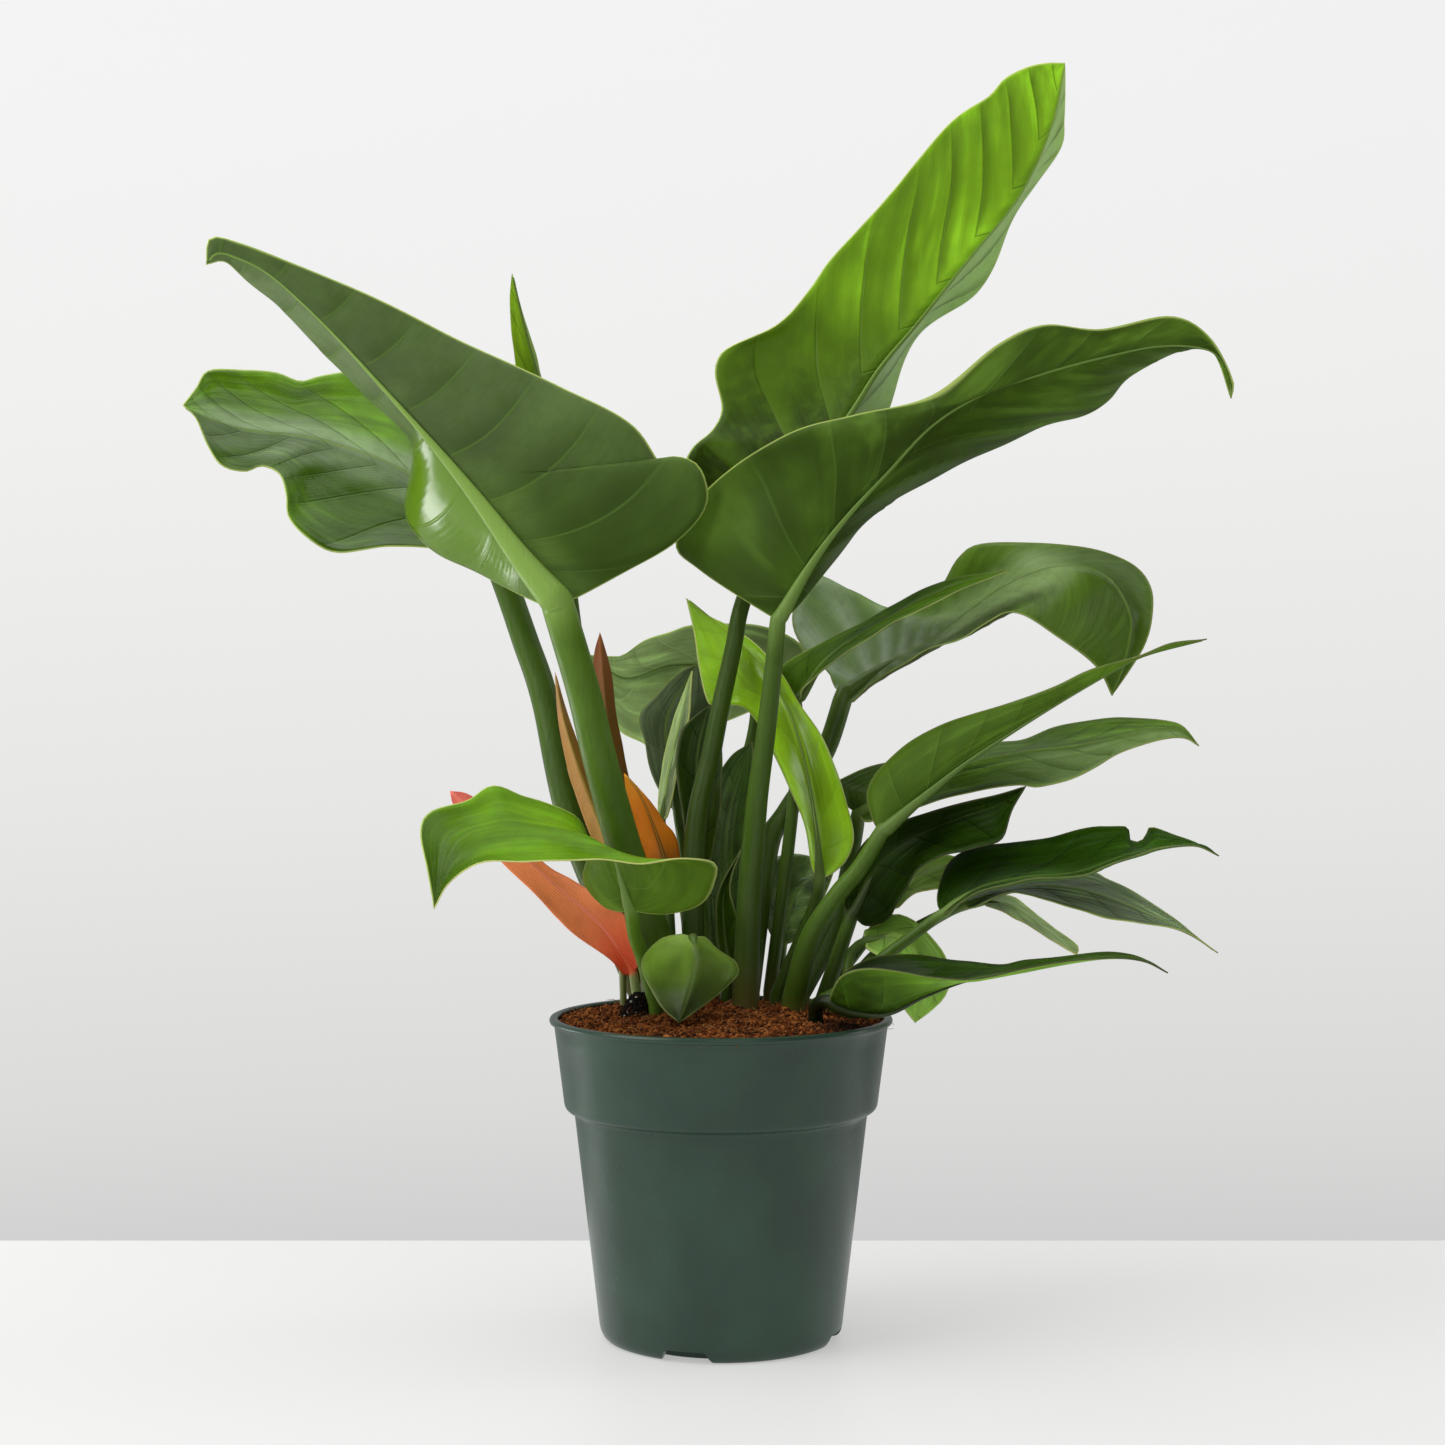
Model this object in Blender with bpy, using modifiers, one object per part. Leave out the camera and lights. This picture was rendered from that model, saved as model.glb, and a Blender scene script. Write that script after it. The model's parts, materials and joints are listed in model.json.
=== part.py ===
"""Potted green princess philodendron: a nursery pot filled with soil, and the plant's leaves.

Metres, +Z up. The origin is the middle of the pot's foot, on the ground, and the plant is
seen from -Y. Each leaf is one piece: a stalk that stands in a hole in the soil, and a blade
lofted between three smooth lines, its midrib and its left and right margins.
"""

import math

import bmesh
import bpy
from mathutils import Vector

MM = 0.001
GAP = 0.3 * MM

# Pot: a six inch nursery pot, as (radius, height) in mm down its outer side: the lip that is
# rolled outwards, the band with a step below it, the tapered body, and the rounded foot
POT_HEIGHT = 145
POT_WALL = 1.4
LIP = [(74.8, POT_HEIGHT), (76.8, POT_HEIGHT), (77.5, POT_HEIGHT - 0.6), (77.5, 142.6)]
BAND = [(75.4, 141), (70.9, 106), (69.4, 103.4), (66.3, 101.8)]
BODY_BOTTOM = (55, 6)
FOOT = [(54, 2.5), (52, 0.5), (50.5, 0)]
INNER_CORNER = 1.5
POT_SEGMENTS = 48

# Underside: a flat middle on the ground, a groove round it, and notches from the groove outwards
GROOVE_OUTER = 49.2
GROOVE_INNER = 43.5
GROOVE_SLANT = 0.8
GROOVE_TOP = 4.9
NOTCH_HEIGHT = 4.5
NOTCH_WIDTHS = (24, 16.5)
NOTCH_DEPTH = 11
NOTCH_RADIUS = 51.2
NOTCH_ANGLES = (-17, 73, 163, 253)

# Soil: its height at the pot's wall, and how far it rises in the middle and around the left crown
SOIL_EDGE_HEIGHT = 142.5
SOIL_DOME = 5
SOIL_MOUND = 3
MOUND_PLACE = (-25, 18)
MOUND_SPREAD = 22
SOIL_RINGS = (62, 46, 30, 15)

# Leaves: the foot of each stalk is a peg in the soil
PEG_BOTTOM = 136
PEG_TOP = 151
BLADE_THICKNESS = 0.8
BLADE_CUP = 0.18
RIB_SINK = 0.35
RIB_TIP_RADIUS = 0.6
RIB_REACH = 0.4
STALK_STEP = 24
ROW_STEP = 15
FEWEST_ROWS = 7
MOST_ROWS = 15
WIDE_BLADE = 60
STEPS_A_SPAN = 16

# View in which the leaves' lines are given: a camera before the pot, in mm, looking slightly down
EYE = Vector((0, -1205, 300))
FOCAL_PIXELS = 2667
MIDDLE_ACROSS = 721
MIDDLE_DOWN = 722.5
PITCH = math.radians(1.06)

MID_GREEN = (0.075, 0.19, 0.022)
DEEP_GREEN = (0.035, 0.1, 0.018)
BRIGHT_GREEN = (0.13, 0.32, 0.022)
YOUNG_GREEN = (0.24, 0.45, 0.03)
RED_SHEATH = (0.55, 0.085, 0.045)
ORANGE_SHEATH = (0.5, 0.16, 0.01)
BROWN_SHEATH = (0.16, 0.05, 0.015)
TAN_SHEATH = (0.45, 0.17, 0.09)
POT_GREEN = (0.04, 0.09, 0.07)
SOIL_BROWN = (0.1, 0.028, 0.008)

# Each leaf and sheath: the peg's place and the stalk's radii in mm, then points chosen along the
# stalk, the midrib and the two margins. A point is (across, down, depth): the pixel where it is
# seen in a frame 1445 pixels wide, and its depth in mm behind the pot's axis. Left and right are
# as seen on the blade's upper side, looking from its base to its tip.
LEAVES = {
    "tall_left_leaf": dict(
        shade=MID_GREEN, root=(-28, 9), radii=(9.5, 9, 8, 7.8, 7.6, 7.5),
        stalk=[(658, 962, 9), (622, 840, 3), (600, 760, -4), (583, 690, -8)],
        rib=[(557, 602, -10), (520, 555, -11), (475, 495, -14), (430, 440, -18), (380, 384, -26),
             (322, 322, -36), (270, 275, -46), (235, 257, -54), (216, 254, -60), (206, 265, -62)],
        left=[(572, 600, -8), (625, 572, 0), (677, 541, 6), (706, 505, 10), (700, 468, 8), (677, 456, 4),
              (664, 466, 2), (632, 425, -2), (562, 388, -8), (518, 367, -12), (440, 330, -20),
              (362, 292, -32), (290, 262, -44), (240, 243, -54), (210, 238, -60)],
        right=[(540, 604, -6), (485, 576, 22), (440, 556, 34), (416, 535, 38), (405, 512, 40),
               (412, 480, 42), (421, 447, 44), (400, 425, 40), (360, 388, 28), (300, 326, 6),
               (250, 283, -30), (225, 262, -55)]),
    "rear_left_leaf": dict(
        shade=DEEP_GREEN, root=(-36, 32), radii=(7, 7, 6.5, 6),
        stalk=[(575, 830, 42), (545, 700, 56), (525, 640, 62), (507, 588, 66)],
        rib=[(490, 545, 70), (455, 503, 74), (417, 478, 77), (380, 459, 78), (342, 446, 78), (304, 436, 74),
             (246, 430, 66), (195, 413, 56), (183, 405, 52)],
        left=[(478, 556, 66), (430, 548, 56), (392, 547, 50), (362, 550, 46), (329, 549, 44),
              (303, 536, 44), (288, 517, 46), (286, 495, 50), (280, 474, 58), (262, 466, 62),
              (245, 472, 58), (222, 466, 54), (208, 446, 54), (196, 418, 54)],
        right=[(495, 530, 78), (500, 470, 95), (480, 420, 105), (430, 385, 108), (390, 372, 106),
               (352, 371, 102), (320, 376, 98), (300, 381, 94), (277, 373, 92), (246, 370, 86),
               (209, 370, 76), (196, 388, 64)]),
    "furled_left_leaf": dict(
        shade=MID_GREEN, root=(-20, 32), radii=(3.5, 3, 2.5),
        stalk=[(630, 880, 40), (600, 780, 46), (575, 620, 52)],
        rib=[(560, 470, 52), (541, 390, 50), (524, 325, 46), (512, 273, 42)],
        left=[(548, 462, 60), (522, 400, 62), (514, 350, 58), (510, 305, 50)],
        right=[(568, 462, 58), (548, 400, 60), (534, 350, 58), (520, 305, 50)]),
    "low_left_leaf": dict(
        shade=MID_GREEN, root=(-29, -9), radii=(3.6, 3.4, 3.2),
        stalk=[(643, 958, -11), (635, 935, -16)],
        rib=[(631, 908, -24), (622, 880, -30), (612, 855, -36), (585, 835, -42), (540, 826, -47),
             (495, 825, -52), (455, 845, -57), (434, 909, -62)],
        left=[(640, 912, -26), (670, 914, -30), (700, 904, -34), (714, 884, -40), (712, 862, -46),
              (650, 861, -58), (582, 861, -68), (530, 861, -72), (484, 862, -72), (450, 882, -68)],
        right=[(622, 912, -20), (600, 905, -12), (578, 880, -6), (572, 850, -8), (570, 815, -10),
               (545, 802, -13), (520, 795, -17), (491, 787, -23), (467, 800, -31), (430, 812, -42),
               (420, 832, -50), (427, 870, -58)]),
    "small_front_leaf": dict(
        shade=MID_GREEN, root=(-17, -6), radii=(3, 2.6, 2.2),
        stalk=[(690, 960, -12)],
        rib=[(693, 938, -20), (697, 955, -34), (692, 985, -42), (679, 1023, -44)],
        left=[(705, 937, -18), (719, 951, -20), (735, 961, -23), (739, 972, -27), (730, 984, -32),
              (705, 1005, -40)],
        right=[(680, 934, -18), (656, 942, -19), (641, 964, -25), (649, 986, -34), (662, 1008, -41)]),
    "tall_right_leaf": dict(
        shade=BRIGHT_GREEN, root=(-11.5, 12.5), radii=(5, 5, 4.2, 3.4),
        stalk=[(693, 905, 12), (697, 820, 16), (710, 760, 20), (722, 700, 23), (733, 650, 26),
               (742, 605, 28)],
        rib=[(765, 545, 30), (805, 485, 33), (853, 412, 36), (881, 368, 37), (917, 325, 37), (968, 261, 34),
             (1020, 196, 28), (1052, 125, 20), (1065, 63, 12)],
        left=[(755, 552, 32), (725, 540, 36), (695, 505, 34), (684, 470, 32), (692, 448, 34),
              (712, 430, 40), (722, 408, 44), (715, 376, 46), (718, 358, 46), (731, 346, 46),
              (778, 323, 44), (810, 289, 42), (830, 261, 40), (861, 226, 38), (893, 190, 34),
              (948, 125, 26), (988, 97, 20), (1004, 79, 18), (1027, 67, 15), (1047, 63, 13)],
        right=[(790, 545, 40), (835, 500, 62), (880, 425, 76), (917, 338, 80), (976, 293, 76),
               (1012, 222, 66), (1035, 186, 56), (1061, 147, 40), (1064, 119, 30), (1065, 90, 20)]),
    "broad_right_leaf": dict(
        shade=MID_GREEN, root=(11, 11), radii=(6, 5.5, 4.5, 3.7),
        stalk=[(748, 920, 8), (752, 860, 4), (757, 800, 0), (765, 740, -3), (772, 680, -5)],
        rib=[(778, 620, -6), (810, 566, -7), (846, 518, -9), (890, 470, -12), (933, 425, -16),
             (985, 393, -22), (1045, 373, -28), (1100, 358, -34), (1160, 346, -40), (1209, 350, -45),
             (1229, 372, -47), (1231, 399, -48)],
        left=[(792, 612, 6), (815, 585, 30), (857, 530, 44), (893, 503, 46), (925, 483, 44), (976, 455, 36),
              (1035, 431, 26), (1079, 418, 14), (1107, 400, 4), (1130, 376, -8), (1182, 350, -30),
              (1213, 352, -42)],
        right=[(760, 610, -2), (700, 570, 16), (676, 542, 24), (709, 487, 18), (778, 439, -4),
               (853, 415, -10), (930, 396, -16), (996, 346, -22), (1043, 325, -30), (1100, 329, -36),
               (1170, 316, -44), (1209, 336, -48), (1233, 380, -49)]),
    "young_centre_leaf": dict(
        shade=YOUNG_GREEN, root=(26, 29), radii=(3.5, 3, 2.7),
        stalk=[(810, 917, 28), (817, 898, 26)],
        rib=[(820, 880, 24), (816, 830, 18), (806, 770, 14), (790, 715, 16), (764, 670, 27), (730, 635, 38),
             (686, 598, 44)],
        left=[(812, 868, 26), (806, 830, 28), (795, 799, 29), (776, 760, 30), (765, 735, 32),
              (745, 708, 35), (720, 705, 38), (708, 703, 39), (699, 669, 41), (694, 634, 43)],
        right=[(835, 872, 25), (848, 858, 24), (854, 836, 24), (847, 804, 25), (837, 771, 25),
               (820, 734, 24), (799, 703, 25), (782, 674, 30), (756, 644, 36), (728, 625, 40),
               (700, 612, 43)]),
    "arching_right_leaf": dict(
        shade=DEEP_GREEN, root=(13, 40), radii=(5.2, 5, 4.8, 4.6),
        stalk=[(768, 850, 44), (785, 815, 46), (808, 780, 48), (828, 745, 52)],
        rib=[(845, 692, 56), (880, 668, 56), (926, 643, 52), (972, 609, 46), (1010, 583, 38),
             (1060, 566, 24), (1105, 575, 4), (1130, 615, -10), (1125, 660, -14), (1112, 696, -14)],
        left=[(834, 687, 62), (828, 672, 66), (805, 651, 74), (792, 622, 82), (800, 590, 88),
              (817, 576, 90), (839, 584, 90), (874, 605, 84), (905, 607, 78), (935, 601, 72),
              (946, 580, 72), (958, 558, 70), (979, 544, 66), (1032, 542, 56), (1071, 546, 46),
              (1111, 555, 32), (1138, 568, 18), (1152, 590, 4), (1152, 620, -6), (1145, 645, -10),
              (1130, 670, -13)],
        right=[(853, 702, 48), (872, 682, 30), (919, 656, 14), (982, 626, 2), (1009, 613, -4),
               (1038, 623, -10), (1071, 646, -14), (1098, 669, -16)]),
    "narrow_right_leaf": dict(
        shade=MID_GREEN, root=(23, 44), radii=(3.2, 3, 2.6),
        stalk=[(788, 850, 36), (797, 760, 36)],
        rib=[(797, 700, 32), (830, 655, 28), (892, 615, 20), (950, 587, 10), (1011, 570, 0)],
        left=[(783, 690, 38), (783, 665, 42), (844, 632, 40), (892, 606, 34), (944, 581, 22)],
        right=[(801, 697, 26), (805, 686, 20), (844, 654, 12), (892, 624, 6), (928, 606, 2),
               (963, 589, 0)]),
    "long_right_leaf": dict(
        shade=MID_GREEN, root=(33, 8), radii=(5.5, 5, 4.2, 3.6),
        stalk=[(810, 939, 0), (838, 894, -6), (859, 869, -10)],
        rib=[(883, 830, -14), (926, 795, -18), (972, 759, -24), (1038, 716, -32), (1105, 676, -42),
             (1144, 656, -48), (1207, 639, -56)],
        left=[(890, 822, -8), (925, 785, -4), (960, 757, -6), (1000, 732, -12), (1045, 706, -22),
              (1105, 673, -36), (1150, 653, -46)],
        right=[(876, 827, -12), (868, 805, -8), (868, 789, -6), (879, 769, -6), (906, 745, -8),
               (939, 726, -14), (972, 714, -20), (1015, 701, -28), (1055, 686, -36), (1091, 669, -42),
               (1138, 656, -49), (1171, 643, -54)]),
    "middle_right_leaf": dict(
        shade=BRIGHT_GREEN, root=(37, 26), radii=(4.2, 4, 3.6),
        stalk=[(834, 930, 32), (852, 850, 40)],
        rib=[(858, 815, 34), (900, 790, 20), (960, 765, 14), (1020, 752, 6), (1080, 745, -4),
             (1130, 735, -14), (1175, 731, -24), (1199, 746, -28)],
        left=[(840, 800, 35), (834, 785, 40), (842, 779, 43), (876, 765, 42), (930, 755, 44),
              (1000, 743, 38), (1022, 739, 36), (1055, 727, 28), (1105, 719, 14), (1138, 718, 2),
              (1168, 721, -12), (1184, 727, -20)],
        right=[(868, 822, 22), (900, 812, 6), (960, 795, -6), (1015, 784, -12), (1038, 787, -16),
               (1065, 782, -20), (1095, 767, -23), (1121, 752, -25), (1160, 740, -26), (1184, 738, -27)]),
    "shaded_right_leaf": dict(
        shade=DEEP_GREEN, root=(47, 14), radii=(3.8, 3.5, 3.2),
        stalk=[(845, 935, 14)],
        rib=[(852, 915, 14), (875, 870, 10), (915, 838, 2), (960, 818, -8), (1000, 804, -20),
             (1026, 786, -30)],
        left=[(845, 905, 20), (850, 870, 20), (868, 838, 12), (905, 820, 0), (950, 806, -10),
              (1000, 794, -24)],
        right=[(866, 926, 6), (889, 918, -4), (902, 895, -12), (916, 871, -18), (939, 858, -24),
               (972, 848, -28), (993, 844, -30), (1004, 836, -31), (1012, 810, -31)]),
    "notched_right_leaf": dict(
        shade=BRIGHT_GREEN, root=(43, -5), radii=(3.2, 2.8, 2.4),
        stalk=[(850, 985, -10), (880, 960, -14), (920, 930, -18)],
        rib=[(940, 915, -20), (957, 900, -22), (984, 886, -25), (1026, 877, -30), (1079, 872, -36),
             (1131, 854, -44), (1195, 844, -54), (1219, 856, -58)],
        left=[(940, 912, -18), (937, 903, -14), (938, 890, -8), (945, 869, 0), (955, 857, 4), (975, 848, 4),
              (995, 844, 2), (1047, 838, -6), (1089, 828, -16), (1106, 826, -20), (1128, 827, -26),
              (1127, 838, -28), (1140, 842, -32), (1148, 832, -34), (1152, 827, -36), (1175, 835, -44),
              (1195, 842, -52)],
        right=[(948, 912, -26), (960, 903, -36), (984, 890, -44), (1026, 880, -48), (1079, 876, -52),
               (1104, 866, -54), (1131, 858, -56), (1159, 848, -57), (1195, 846, -58)]),
    "lower_right_leaf": dict(
        shade=MID_GREEN, root=(52, 4), radii=(2.8, 2.5, 2.2),
        stalk=[(880, 950, 8), (930, 920, 6)],
        rib=[(965, 905, 4), (1005, 890, 0), (1055, 886, -5), (1106, 896, -12), (1150, 915, -20),
             (1190, 934, -26), (1218, 953, -30)],
        left=[(962, 897, 12), (1000, 876, 16), (1047, 866, 12), (1091, 871, 4), (1106, 878, 0),
              (1131, 890, -8), (1174, 918, -20), (1195, 935, -26)],
        right=[(972, 908, -2), (1005, 893, -10), (1026, 894, -14), (1047, 901, -18), (1079, 909, -22),
               (1110, 919, -26), (1163, 926, -29), (1190, 934, -30)]),
    "slim_right_leaf": dict(
        shade=MID_GREEN, root=(56, 20), radii=(2.4, 2.2, 2),
        stalk=[(900, 945, 18), (950, 912, 16)],
        rib=[(985, 901, 14), (1011, 905, 10), (1040, 925, 6), (1077, 955, 2)],
        left=[(990, 894, 22), (1015, 898, 20), (1047, 923, 14), (1077, 945, 6)],
        right=[(985, 905, 8), (1001, 911, 0), (1026, 924, -4), (1060, 945, -4)]),
    "rim_right_leaf": dict(
        shade=MID_GREEN, root=(42, -25), radii=(5, 4.5, 4),
        stalk=[(822, 997, -30)],
        rib=[(836, 998, -34), (858, 1009, -38), (889, 1012, -44), (926, 995, -50), (972, 979, -56),
             (1038, 968, -62), (1102, 957, -68), (1142, 959, -74), (1168, 973, -78)],
        left=[(834, 985, -28), (850, 968, -24), (875, 957, -22), (900, 955, -24), (931, 956, -28),
              (963, 961, -34), (1001, 965, -43), (1026, 960, -49), (1068, 956, -57), (1102, 952, -65),
              (1123, 953, -69), (1142, 958, -73)],
        right=[(840, 990, -44), (849, 974, -50), (872, 969, -56), (900, 971, -60), (946, 979, -66),
               (975, 979, -68), (1038, 966, -72), (1102, 958, -75), (1142, 961, -77)]),
    "hanging_right_leaf": dict(
        shade=DEEP_GREEN, root=(57, -4), radii=(2.8, 2.5, 2.2),
        stalk=[(850, 955, 5)],
        rib=[(868, 940, 6), (900, 935, 0), (918, 960, -4), (921, 995, -6), (915, 1023, -6)],
        left=[(862, 932, 10), (880, 924, 10), (893, 914, 8), (910, 918, 5), (925, 930, 2), (945, 955, 0),
              (950, 980, -3), (945, 997, -4), (930, 1012, -5)],
        right=[(866, 948, 2), (880, 958, -5), (890, 980, -8), (898, 1000, -8), (904, 1009, -7)]),
    "small_right_leaf": dict(
        shade=DEEP_GREEN, root=(48, 32), radii=(2.6, 2.4, 2.2),
        stalk=[(870, 935, 28)],
        rib=[(885, 905, 26), (915, 880, 23), (950, 868, 18), (985, 872, 12)],
        left=[(890, 893, 32), (905, 876, 32), (918, 865, 31), (948, 855, 26)],
        right=[(897, 908, 20), (915, 893, 15), (939, 889, 12), (965, 884, 10)]),
    "low_centre_leaf": dict(
        shade=DEEP_GREEN, root=(30, 54), radii=(3, 2.8, 2.5),
        stalk=[(780, 965, 50)],
        rib=[(782, 945, 50), (788, 915, 52), (802, 885, 54), (835, 868, 54)],
        left=[(772, 938, 52), (763, 912, 54), (763, 885, 57), (768, 864, 60), (785, 854, 62),
              (810, 856, 60)],
        right=[(795, 940, 46), (810, 920, 46), (825, 895, 48)]),
    "wavy_centre_leaf": dict(
        shade=MID_GREEN, root=(2, 21), radii=(2, 1.7, 1.2),
        stalk=[],
        rib=[(731, 970, 21), (724, 930, 24), (724, 890, 24), (742, 848, 22)],
        left=[(722, 962, 20), (716, 930, 21), (719, 890, 20)],
        right=[(738, 960, 17), (738, 925, 14), (730, 885, 15)]),
    "rear_centre_leaf": dict(
        shade=DEEP_GREEN, root=(-4, 52), radii=(4, 3.5, 2.8),
        stalk=[(722, 850, 80), (752, 740, 95)],
        rib=[(757, 690, 102), (720, 668, 110), (670, 665, 115), (625, 678, 114), (590, 655, 108)],
        left=[(790, 670, 98), (805, 651, 94), (787, 635, 92), (750, 624, 92), (693, 625, 96),
              (670, 632, 100), (645, 640, 104), (623, 655, 106), (609, 656, 107)],
        right=[(760, 705, 104), (730, 720, 110), (690, 735, 116), (660, 750, 118), (640, 742, 118),
               (617, 728, 116), (600, 700, 112), (588, 672, 109)]),
    "dark_centre_leaf": dict(
        shade=DEEP_GREEN, root=(-12, 40), radii=(3.4, 3, 2.6),
        stalk=[(688, 880, 54)],
        rib=[(678, 810, 60), (670, 760, 63), (668, 715, 63), (697, 664, 60)],
        left=[(690, 805, 58), (700, 770, 57), (707, 740, 57), (712, 705, 57), (705, 675, 58)],
        right=[(668, 805, 62), (652, 775, 64), (645, 743, 66), (640, 715, 66), (659, 692, 64),
               (680, 672, 61)]),
    "folded_centre_leaf": dict(
        shade=MID_GREEN, root=(-22, 22), radii=(2.6, 2.4, 2.2),
        stalk=[(668, 890, 42)],
        rib=[(661, 820, 50), (668, 770, 50), (680, 720, 49), (692, 671, 46)],
        left=[(658, 812, 54), (661, 775, 58), (672, 725, 57)],
        right=[(668, 815, 46), (677, 775, 42), (688, 725, 42)]),
    "upright_centre_leaf": dict(
        shade=DEEP_GREEN, root=(-6, 26), radii=(3, 2.8, 2.5),
        stalk=[(702, 920, 32)],
        rib=[(700, 870, 36), (697, 800, 38), (698, 750, 40), (709, 705, 42)],
        left=[(690, 862, 34), (682, 810, 34), (676, 767, 36), (680, 735, 38), (688, 722, 40)],
        right=[(710, 862, 33), (720, 810, 31), (722, 760, 33), (718, 725, 38)]),
    "inner_centre_leaf": dict(
        shade=DEEP_GREEN, root=(3, 36), radii=(3, 2.8, 2.5),
        stalk=[],
        rib=[(727, 960, 37), (725, 880, 44), (731, 810, 49), (752, 742, 52)],
        left=[(713, 952, 38), (704, 900, 43), (704, 840, 50), (712, 790, 54), (730, 757, 55)],
        right=[(737, 950, 34), (744, 900, 35), (750, 840, 38), (756, 790, 43)]),
    "red_sheath": dict(
        shade=RED_SHEATH, root=(-37.5, 0.5), radii=(2.4, 2.2, 2),
        stalk=[],
        rib=[(633, 972, 0), (600, 925, 3), (555, 885, 5), (500, 835, 9), (455, 797, 12)],
        left=[(624, 975, -1), (610, 959, -4), (575, 935, -4), (558, 918, -3), (530, 889, 0), (503, 863, 4),
              (470, 820, 10)],
        right=[(639, 962, -3), (632, 925, -3), (606, 901, 2), (572, 880, 10), (543, 862, 14),
               (490, 815, 15)]),
    "orange_sheath": dict(
        shade=ORANGE_SHEATH, root=(-16, 20.5), radii=(1.6, 1.7, 1.8),
        stalk=[(684, 915, 20)],
        rib=[(668, 870, 20), (655, 830, 18), (640, 795, 19), (624, 773, 22)],
        left=[(655, 872, 26), (640, 843, 28), (629, 810, 26)],
        right=[(680, 865, 26), (676, 838, 28), (662, 819, 28), (649, 800, 26)]),
    "brown_sheath": dict(
        shade=BROWN_SHEATH, root=(-27, 24), radii=(1.6, 1.8, 2.2),
        stalk=[(652, 900, 28)],
        rib=[(640, 850, 31), (622, 790, 28), (607, 715, 26), (600, 632, 28)],
        left=[(628, 850, 37), (608, 790, 35), (597, 735, 33), (593, 695, 32), (594, 656, 30)],
        right=[(650, 850, 37), (634, 800, 36), (617, 719, 33), (611, 672, 31)]),
    "tan_sheath": dict(
        shade=TAN_SHEATH, root=(-45, 21), radii=(1.6, 1.8, 2.2),
        stalk=[(620, 900, 21)],
        rib=[(612, 850, 20), (583, 780, 20), (564, 720, 22), (555, 672, 26)],
        left=[(600, 855, 26), (574, 790, 27), (560, 730, 28)],
        right=[(622, 848, 26), (594, 785, 27), (570, 722, 28)]),
}


def photo_point(across, down, depth):
    """The world point seen at a pixel, at a depth in mm behind the pot's axis."""
    rightward = (across - MIDDLE_ACROSS) / FOCAL_PIXELS
    upward = (MIDDLE_DOWN - down) / FOCAL_PIXELS
    forward = math.cos(PITCH) + upward * math.sin(PITCH)
    rise = upward * math.cos(PITCH) - math.sin(PITCH)
    reach = (depth - EYE.y) / forward
    return (EYE + Vector((rightward, forward, rise)) * reach) * MM


def smooth_route(points, count):
    """Evenly spaced stations on a smooth curve that passes through the points."""
    knots = [points[0] * 2 - points[1], *points, points[-1] * 2 - points[-2]]
    dense = []
    for a, b, c, d in zip(knots, knots[1:], knots[2:], knots[3:]):
        for step in range(STEPS_A_SPAN):
            t = step / STEPS_A_SPAN
            bend = (c - a) * t + (a * 2 - b * 5 + c * 4 - d) * t ** 2 + (b * 3 - a - c * 3 + d) * t ** 3
            dense.append(b + bend * 0.5)
    dense.append(points[-1])
    return even_stations(dense, count)


def route_length(line):
    return sum((end - start).length for start, end in zip(line, line[1:]))


def even_stations(line, count):
    """Points at equal distances along a line of straight runs, its two ends included."""
    spacing = route_length(line) / (count - 1)
    stations = [line[0]]
    travelled = 0.0
    for start, end in zip(line, line[1:]):
        run = (end - start).length
        while len(stations) < count - 1 and travelled + run >= spacing * len(stations):
            stations.append(start.lerp(end, (spacing * len(stations) - travelled) / run))
        travelled += run
    stations.append(line[-1])
    return stations


def read_between(values, share):
    """The value at a share of the way along a short list of values at equal steps."""
    place = share * (len(values) - 1)
    index = min(int(place), len(values) - 2)
    return values[index] + (values[index + 1] - values[index]) * (place - index)


def material(name, colour, roughness):
    made = bpy.data.materials.new(name)
    made.use_nodes = True
    shader = made.node_tree.nodes["Principled BSDF"]
    shader.inputs["Base Color"].default_value = (*colour, 1)
    shader.inputs["Roughness"].default_value = roughness
    shader.inputs["Metallic"].default_value = 0
    return made


def new_object(name, mesh, collection):
    made = bpy.data.objects.new(name, mesh)
    collection.objects.link(made)
    return made


def evaluated_mesh(source):
    """A new mesh of the object as its modifiers leave it."""
    graph = bpy.context.evaluated_depsgraph_get()
    return bpy.data.meshes.new_from_object(source.evaluated_get(graph))


def apply_modifiers(target):
    mesh = evaluated_mesh(target)
    target.modifiers.clear()
    target.data = mesh


def shade_round(mesh, sharp_degrees):
    mesh.shade_smooth()
    mesh.set_sharp_from_angle(angle=math.radians(sharp_degrees))


def turned_object(name, profile, collection):
    """A solid turned about Z from a profile of (radius, height) in mm at +X, top to bottom."""
    outline = bpy.data.meshes.new(name)
    points = [(radius * MM, 0, height * MM) for radius, height in profile]
    edges = [(index, index + 1) for index in range(len(points) - 1)]
    outline.from_pydata(points, edges, [])
    made = new_object(name, outline, collection)
    screw = made.modifiers.new("turn", "SCREW")
    screw.steps = POT_SEGMENTS
    screw.render_steps = POT_SEGMENTS
    screw.use_merge_vertices = True
    screw.merge_threshold = 0.00001
    return made


def hide_cutter(cutter):
    cutter.hide_render = True
    cutter.display_type = "WIRE"


def cut_with(target, collection):
    cut = target.modifiers.new("cut", "BOOLEAN")
    cut.operation = "DIFFERENCE"
    cut.operand_type = "COLLECTION"
    cut.collection = collection


def pot_inner_radius(height):
    """Radius of the pot's inner side at a height, in mm."""
    inner = [(radius - POT_WALL, level) for radius, level in [*BAND, BODY_BOTTOM]]
    for (upper_radius, upper), (lower_radius, lower) in zip(inner, inner[1:]):
        if height >= lower:
            return lower_radius + (upper_radius - lower_radius) * (height - lower) / (upper - lower)
    return inner[-1][0]


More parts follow.
